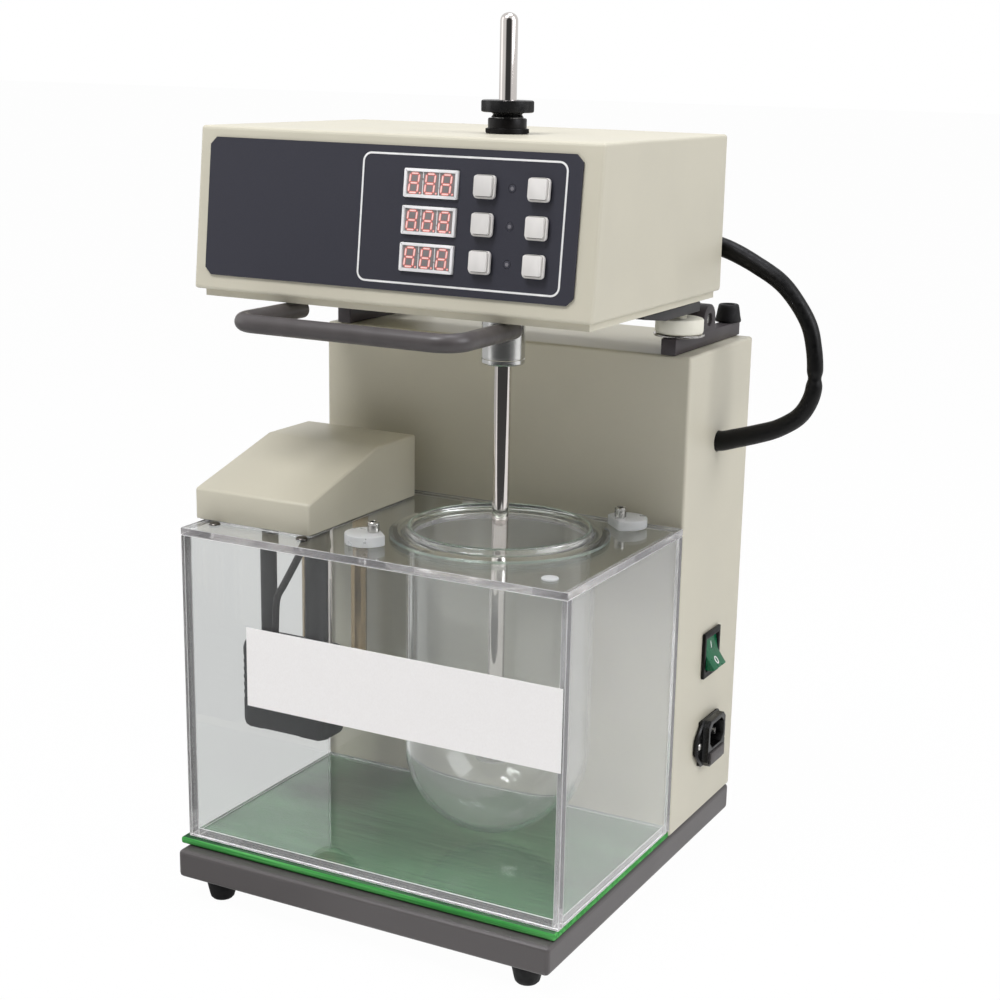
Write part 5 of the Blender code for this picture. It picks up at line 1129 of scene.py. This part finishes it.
for side in ("left", "right"):
    low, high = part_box(f"rest_pad_{side}")
    place, foot = (low + high) / 2, low.z / MM
    pad = turned(f"nylon_pad_{side}", standing(pad_profile, foot), place, 72)
    hand_over(pad, cream_nylon, "stand", [f"rest_pad_{side}"])
    washer = turned(f"pad_washer_{side}", standing(washer_profile, foot), place, 72)
    hand_over(washer, screw_steel, "stand")
    low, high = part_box(f"rubber_stop_{side}")
    place = (low + high) / 2
    foot, top = low.z / MM, high.z / MM
    stop_profile = [
        (0, top - 4), (3.4, top - 4), (3.9, top - 0.3), (4.3, top), (5.5, top), (6.2, top - 0.5),
        (6.6, top - 2), (7.4, foot + 4), (8.0, foot + 1.4), (8.0, foot + 0.4), (7.7, foot), (0, foot),
    ]
    stop = turned(f"stop_{side}", stop_profile, place, 56, 40)
    hand_over(stop, black_rubber, "stand", [f"rubber_stop_{side}"])

# %% [markdown]
# The foam mat is a sheet with lightly rounded edges. Its cut edges keep the fresh green. The top lies in
# the bath's shade, so the faces that look up take a darker copy of the foam, which is painted shade.

# %% Foam mat
mat = round_edges(copied("foam_mat", "bath_mat"), 0.3 * MM, 2, 30)
# Painted shade: the faces that look up take the darker copy of the foam.
dressed(mat, green_foam, (shaded_foam, lambda face: face.normal.z > 0.9))
hand_over(mat, green_foam, "stand", ["bath_mat"])

# %% [markdown]
# The bath is glued together from five sheets of clear acrylic. The faces are clear, and the sawn edges
# scatter the light, so they draw bright lines round the box. Each sheet is a slab of its own with a hair
# of space to the next one, because a single hollow block would lose those lines. The front and back
# sheets run over the ends of the side sheets, and the bottom lies between all four.

# %% Bath tank
def sheet_of(name, low, high, across, clear=clear_acrylic):
    """A clear sheet with frosted edges. across is the direction through the sheet: 0, 1 or 2."""
    sheet = round_edges(block(name, low, high), 0.35 * MM, 1)
    sawn = (sawn_acrylic, lambda face: abs(face.normal[across]) < 0.9)
    bevelled = (edge_line, lambda face: max(abs(part) for part in face.normal) < 0.9)
    return dressed(sheet, clear, sawn, bevelled)


low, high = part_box("bath_tank")
wall, hair = 5 * MM, 0.04 * MM
left, front, base = low
right, back, rim = high
near_y, far_y = front + wall + hair, back - wall - hair
inner_low, inner_high = left + wall + hair, right - wall - hair
sheets = [
    sheet_of("front_sheet", (left, front, base), (right, front + wall, rim), 1),
    sheet_of("back_sheet", (left, back - wall, base), (right, back, rim), 1),
    sheet_of("left_sheet", (left, near_y, base), (left + wall, far_y, rim), 0),
    # The right sheet takes the milky acrylic, whose pale veil is a painted reflection.
    sheet_of("right_sheet", (right - wall, near_y, base), (right, far_y, rim), 0, reflection_veil_acrylic),
    sheet_of("bottom_sheet", (inner_low, near_y, base), (inner_high, far_y, base + wall), 2),
]
hand_over(joined("acrylic_tank", *sheets), clear_acrylic, "stand", ["bath_tank"])

# %% [markdown]
# The lid is one sheet with a round hole for the vessel, a cut-out for the heater unit, and two drilled
# holes for the cams' screws. Cutters take these out with the Boolean modifier. Two low nylon pegs stand
# on it.

# %% Bath lid and its pegs
low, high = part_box("bath_lid")
lid_top = 230.3 * MM
lid = block("clear_lid", low, (high.x, high.y, lid_top))
CAMS = {"left": Vector((-15.224, -81.89, 0)) * MM, "right": Vector((89.361, 24.166, 0)) * MM}
CUTOUT_LOW, CUTOUT_HIGH = Vector((-117.083, -90.98, 0)) * MM, Vector((-53.083, 15.5, 0)) * MM
deep, tall = low.z - 5 * MM, lid_top + 5 * MM
carve(lid, drum("vessel_hole", 54.5 * MM, deep, tall, SHAFT, 128))
cutout = block("heater_cutout", (*CUTOUT_LOW.xy, deep), (*CUTOUT_HIGH.xy, tall))
carve(lid, round_edges(cutout, 4 * MM, 4))
for place in CAMS.values():
    carve(lid, drum("screw_hole", 2.8 * MM, deep, tall, place, 32))
round_edges(lid, 0.35 * MM, 1, 50)
sawn = (sawn_acrylic, lambda face: abs(face.normal.z) < 0.9)
bevelled = (edge_line, lambda face: 0.3 < abs(face.normal.z) < 0.9)
dressed(lid, clear_acrylic, sawn, bevelled)
hand_over(lid, clear_acrylic, "stand", ["bath_lid"])
pegs = []
for across, along in ((-50.3, 54.4), (65.9, -66.1)):
    place = SHAFT + Vector((across, along, 0)) * MM
    pegs.append(round_edges(drum("peg", 4.7 * MM, lid_top + 0.02 * MM, 231.5 * MM, place, 48), 0.4 * MM))
hand_over(joined("lid_pegs", *pegs), milky_nylon, "stand")

# %% [markdown]
# The vessel is blown glass with a round bottom and a ground flange, whose mouth stands up in a bead. All
# of it is one closed profile, inner wall and outer wall, spun about the shaft's axis. The rings that show
# in the flange come from the bead, the low ridge half way out and the small rounding of the outer edge.

# %% Glass vessel
CENTRE_Z, OUTER, INNER = 102.6, 53.0, 50.5
inner_arc = [(INNER * sin(radians(a)), CENTRE_Z - INNER * cos(radians(a))) for a in range(0, 91, 5)]
outer_arc = [(OUTER * sin(radians(a)), CENTRE_Z - OUTER * cos(radians(a))) for a in range(90, -1, -5)]
vessel_profile = [
    *inner_arc, (INNER, 233.0), (50.75, 234.8), (51.4, 236.1), (52.3, 236.6), (53.2, 236.3), (53.8, 235.5),
    (54.2, 234.2), (54.9, 233.1), (55.6, 232.8), (57.8, 232.75), (58.4, 233.0), (59.1, 233.1),
    (59.8, 233.0), (60.4, 232.75), (63.5, 232.7), (63.9, 232.5), (64.0, 232.2), (64.0, 231.1),
    (63.9, 230.8), (63.5, 230.6), (55.2, 230.6), (54.0, 230.1), (53.3, 229.2), (OUTER, 227.8), *outer_arc,
]
vessel = turned("blown_vessel", vessel_profile, SHAFT, 144, 50)


def ground(face):
    x, y, z = (face.center - SHAFT) / MM
    radius = (x * x + y * y) ** 0.5
    return radius > 63.8 or (51.8 < radius < 52.8 and z > 236.2)


clean = (mouth_glass, lambda face: face.material_index == 0 and face.center.z > 229 * MM)
dressed(vessel, vessel_glass, (rim_glass, ground), clean)
hand_over(vessel, vessel_glass, "vessel", ["vessel"])

# %% [markdown]
# Two D-shaped cams hold the flange in the middle: turning one brings its round side against the glass.
# They are milky nylon. Each turns on a socket screw with a knurled head, whose thread shows through the
# clear lid. The inside of the socket is painted black as shade, so its faces take a second finish.

# %% Cams and their screws
THREAD = []
for i in range(12):
    THREAD += [(2.5, 236.1 - 0.8 * i), (2.15, 235.7 - 0.8 * i)]
screw_profile = [
    (0, 239.4), (1.8, 239.4), (1.8, 242.45), (1.95, 242.6), (3.1, 242.6), (3.4, 242.3), (3.4, 241.0),
    (3.25, 240.7), (3.4, 240.4), (3.4, 237.1), (3.2, 236.7), (2.5, 236.7), *THREAD, (0, 226.3),
]


def cam_screw(name, place):
    def in_shaded_socket(face):
        x, y, z = (face.center - place) / MM
        return x * x + y * y < 1.85**2 and 239 < z < 242.5

    screw = turned(name, screw_profile, place, 48)
    ridged_at(screw, place, 48, 236.9, 240.5, 3.3, 0.92)
    # Painted shade: the socket's inside takes the black finish.
    return dressed(screw, screw_steel, (black_plastic, in_shaded_socket))


for side, place in CAMS.items():
    cam = round_edges(copied(f"centring_cam_{side}", f"cam_{side}"), 0.9 * MM, 3, 50, 50)
    hand_over(cam, milky_nylon, f"cam_{side}", [f"cam_{side}"])
    screw = cam_screw(f"socket_screw_{side}", place)
    hand_over(screw, screw_steel, "stand", [f"cam_screw_{side}"])

# %% [markdown]
# The sheet stuck to the bath's front is thin matt paper that has lifted a little from the acrylic here
# and there. It is a flat box with a gridded face, whose points are moved by a slow noise.

# %% Sheet on the bath's front
low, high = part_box("instruction_plate")
notice = block("blank_notice", low, high)
choose(notice, "EDGE", lambda edge: True)
bpy.ops.mesh.subdivide(number_cuts=24)
close()
for vertex in notice.data.vertices:
    lift = noise.noise(Vector((vertex.co.x * 22, vertex.co.z * 30, 3.0)))
    if vertex.co.y < low.y + 0.1 * MM:
        vertex.co.y += max(0.0, lift) * 0.12 * MM
hand_over(notice, blank_paper, "stand", ["instruction_plate"])

# %% [markdown]
# The heater unit hangs through the lid. Its painted cover slopes down to the front. The cover's lower
# edge is raised a little off the steel plate under it, so that a dark gap shows between them, and the
# plate comes out to the cover's right side. Two flat screws stand at the front on the lid. The pump, its
# riser tube and hanger, the probe and the heating tube go down from there.

# %% Heater cover and base plate
def shift(piece, rule, move):
    """Moves those points of a piece for which the rule says yes."""
    choose(piece, "VERT", rule)
    bpy.ops.transform.translate(value=move)
    close()


cover = copied("sloped_cover", "heater_cover")
cover_low, cover_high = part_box("heater_cover")
shift(cover, lambda point: point.co.z < cover_low.z + 0.2 * MM, (0, 0, 1.8 * MM))
bpy.ops.object.shade_smooth_by_angle(angle=radians(40))
hand_over(cover, warm_coat, "stand", ["heater_cover"])
low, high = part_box("heater_base_plate")
plate = copied("heater_plate", "heater_base_plate")
longer = cover_high.x - 0.3 * MM - high.x
shift(plate, lambda point: point.co.x > high.x - 0.1 * MM, (longer, 0, 0))
shift(plate, lambda point: point.co.z > high.z - 0.1 * MM, (0, 0, -0.8 * MM))
round_edges(plate, 0.15 * MM, 1)
hand_over(plate, sheet_steel, "stand", ["heater_base_plate"])
FEET = Vector((-114.5, -97.4, 0)) * MM, Vector((-53.5, -97.4, 0)) * MM
profile = [(0, 231.9), (1.6, 231.9), (2.9, 231.5), (3.4, 230.9), (3.4, 230.4), (0, 230.4)]
feet = [turned("foot", profile, place, 32) for place in FEET]
dark_steel = worked_metal("dark_steel", rgb(92, 88, 84), 0.22, (0.2, 0.2, 1))
hand_over(joined("heater_feet", *feet), dark_steel, "stand")

# %% [markdown]
# The pump's case has fine cooling slots on its left, cut with the Boolean modifier right out to the
# case's front, and arches between its feet. Its edges are rounded before the cuts, so the cuts stay
# crisp.

# %% Pump case
pump = round_edges(copied("pump_case", "pump_housing"), 0.5 * MM, 2, 50, 40)
low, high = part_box("pump_housing")
SLOT_FOOT, SLOT_STEP, SLOT_TALL, SLOT_DEEP = 117.5 * MM, 2.7 * MM, 1.4 * MM, 1.5 * MM
slots = []
for i in range(11):
    z = SLOT_FOOT + SLOT_STEP * i
    outer_corner = (low.x - MM, low.y - MM, z)
    slots.append(block("slot", outer_corner, (low.x + SLOT_DEEP, high.y - 8 * MM, z + SLOT_TALL)))
carve(pump, joined("slots", *slots))
middle, sole, crown = (low + high) / 2, low.z - MM, low.z + 2.2 * MM
along = block("arch", (middle.x - 16 * MM, low.y - MM, sole), (middle.x + 12 * MM, high.y + MM, crown))
across = block("arch", (low.x - MM, middle.y - 10 * MM, sole), (high.x + MM, middle.y + 10 * MM, crown))
carve(pump, along, across)
bpy.ops.object.shade_smooth_by_angle(angle=radians(40))
hand_over(pump, matt_plastic, "stand", ["pump_housing"])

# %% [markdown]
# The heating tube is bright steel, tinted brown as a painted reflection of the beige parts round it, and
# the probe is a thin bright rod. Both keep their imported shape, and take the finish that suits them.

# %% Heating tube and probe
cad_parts["heater_element"].material_slots[0].material = reflection_tinted_steel
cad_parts["temperature_probe"].material_slots[0].material = polished_steel
print("heating tube and probe")

# %% [markdown]
# The rocker switch has two wings that meet in a shallow valley, and its upper end is pressed in. It
# carries the plain bar and ring that mark on and off, as thin white inlays. Each inlay is made flat, then
# turned to lie on its wing. The housing keeps its packed outline with its edges rounded.

# %% Rocker switch
housing = round_edges(copied("switch_bezel", "switch_housing"), 0.5 * MM, 2, 50)
hand_over(housing, black_plastic, "stand", ["switch_housing"])
rocker = round_edges(copied("green_rocker", "power_rocker"), 0.45 * MM, 3, 25, 40)
rocker_green = moulded("rocker_green", rgb(6, 100, 62), 0.3, 0.4, 0.006)
hand_over(rocker, rocker_green, "power_rocker", ["power_rocker"])

ROCKER_PIVOT = Vector((125.217, 93.1, 139.0)) * MM
FACING_RIGHT = Matrix(((0, 0, 1), (1, 0, 0), (0, 1, 0)))
WING, TILT = 12.23, 23.0
WING_SLOPE = 2.2222 / 10.25
ring_outline = [(x * 0.8, y) for x, y in circle(0, 0, 2.7, 40)]
ring_hole = [(x * 0.5, y * 0.62) for x, y in ring_outline]
for name, up, turn in (("on_mark", 5.0, WING - TILT), ("off_mark", -5.4, -WING - TILT)):
    if up > 0:
        mark = slab(name, rounded(-0.5, -2.2, 0.5, 2.2, 0.2, 3), -0.3, 0.06)
    else:
        mark = carve(slab(name, ring_outline, -0.3, 0.06), slab("hole", ring_hole, -1, 1))
    out = -0.2 + WING_SLOPE * abs(up)
    spot = Matrix.Rotation(radians(-TILT), 3, "Y") @ Vector((out, 0, up)) * MM
    facing = Matrix.Rotation(radians(turn), 3, "Y") @ FACING_RIGHT
    mark.matrix_world = Matrix.Translation(ROCKER_PIVOT + spot) @ facing.to_4x4()
    settle(mark, name)
    hand_over(mark, line_ink, "power_rocker")

# %% [markdown]
# The mains inlet is an eight-sided plastic plate with a raised frame, a deep socket in it with three
# pins, and a fuse drawer below. The pins are nickel-plated, so the faces in the middle of the socket take
# a second finish. Two screws with low domed heads hold the plate at its tips.

# %% Mains inlet
INLET = Vector((123.217, 96.5, 80.4)) * MM
FLANGE, TIP = 2.7 * MM, 18.6 * MM


def on_a_pin(face):
    x, y, z = (face.center - INLET) / MM - Vector((6.7, 0, 4.5))
    return -16.8 < x < -3 and abs(y) < 8.3 and abs(z) < 4.3


inlet = round_edges(copied("inlet_frame", "mains_inlet"), 0.5 * MM, 2, 50)
dressed(inlet, gloss_plastic, (screw_steel, on_a_pin))
hand_over(inlet, gloss_plastic, "stand", ["mains_inlet"])
drawer = round_edges(copied("fuse_holder", "fuse_drawer"), 0.3 * MM, 2)
hand_over(drawer, grey_plastic, "fuse_drawer", ["fuse_drawer"])


def screw_head(name, place, facing, radius, rise):
    """A domed screw head with a cross in it. facing turns its top from upwards to where it looks."""
    dome = [(0, 1), (0.45, 0.95), (0.85, 0.6), (1, 0), (0, 0)]
    profile = [(radius * out, rise * up) for out, up in dome]
    head = turned(name, profile, Vector((0, 0, 0)), 32, 50)
    for long_x, long_y in ((radius * 0.62, radius * 0.13), (radius * 0.13, radius * 0.62)):
        corner = Vector((long_x, long_y, rise * 1.5)) * MM
        carve(head, block("cross", (-corner.x, -corner.y, rise * 0.35 * MM), corner))
    head.matrix_world = Matrix.Translation(place) @ facing.to_4x4()
    return settle(head, name)


spots = [INLET + Vector((FLANGE, tip, 0)) for tip in (-TIP, TIP)]
tips = [screw_head("tip", spot, FACING_RIGHT, 2.4, 0.7) for spot in spots]
hand_over(joined("inlet_screws", *tips), screw_steel, "stand")

# %% [markdown]
# Four rubber feet stand under the tray. They taper to a rounded sole, and one profile serves for all
# four.

# %% Feet
foot_profile = [
    (0, 14.7), (9.4, 14.7), (9.7, 14.3), (9.4, 11.5), (7.6, 3.2), (7.1, 1.5), (6.1, 0.4), (4.9, 0),
    (2.4, 0), (2.0, 1.2), (0, 1.2),
]
for where in ("front_left", "front_right", "rear_left", "rear_right"):
    low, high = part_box(f"foot_{where}")
    foot = turned(f"tapered_foot_{where}", foot_profile, (low + high) / 2, 56, 45)
    hand_over(foot, foot_rubber, "stand", [f"foot_{where}"])

# %% [markdown]
# The plate that closes the column's back is held by six small screws, three down each side, which are
# sunk flush into it.

# %% Back cover screws
FACING_BACK = Matrix(((-1, 0, 0), (0, 0, 1), (0, 1, 0)))
low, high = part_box("column_back_cover")
inset, sunk = 7 * MM, 0.3 * MM
heads = []
for x in (low.x + inset, high.x - inset):
    for z in (low.z + inset, (low.z + high.z) / 2, high.z - inset):
        heads.append(screw_head("head", Vector((x, high.y - sunk, z)), FACING_BACK, 2.8, 0.3))
hand_over(joined("cover_screws", *heads), screw_steel, "stand")

# %% [markdown]
# The power supply stands behind the back cover. It gets the finishes of its real parts: a green board,
# brass posts, a steel core and a winding under yellow tape. The rules tell them apart by how far they
# stand out from the board.

# %% Power supply
def tape():
    finish = Finish("winding_tape", roughness=0.35)
    wraps = finish.grain(2.2, 2, (0.1, 0.1, 1))
    finish.set(base_color=finish.blend(wraps, rgb(196, 150, 46), rgb(226, 186, 84)))
    finish.bump(wraps, 0.08)
    return finish.material


supply = round_edges(copied("power_board", "power_supply"), 0.3 * MM, 1, 50)
low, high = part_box("power_supply")
middle_z = (low.z + high.z) / 2
BOARD_BACK = 50.592 * MM


def in_core(face):
    out = face.center.y - BOARD_BACK
    return 3 * MM < out < 27.5 * MM and abs(face.center.z - middle_z) < 24.2 * MM


posts = (brass, lambda face: face.center.y < BOARD_BACK - 0.5 * MM)
core = (worked_metal("core_laminations", rgb(120, 118, 116), 0.45, (1, 1, 0.1)), in_core)
winding = (tape(), lambda face: face.material_index == 0 and face.center.y > BOARD_BACK + 3 * MM)
dressed(supply, green_board, posts, core, winding)
hand_over(supply, green_board, "stand", ["power_supply"])
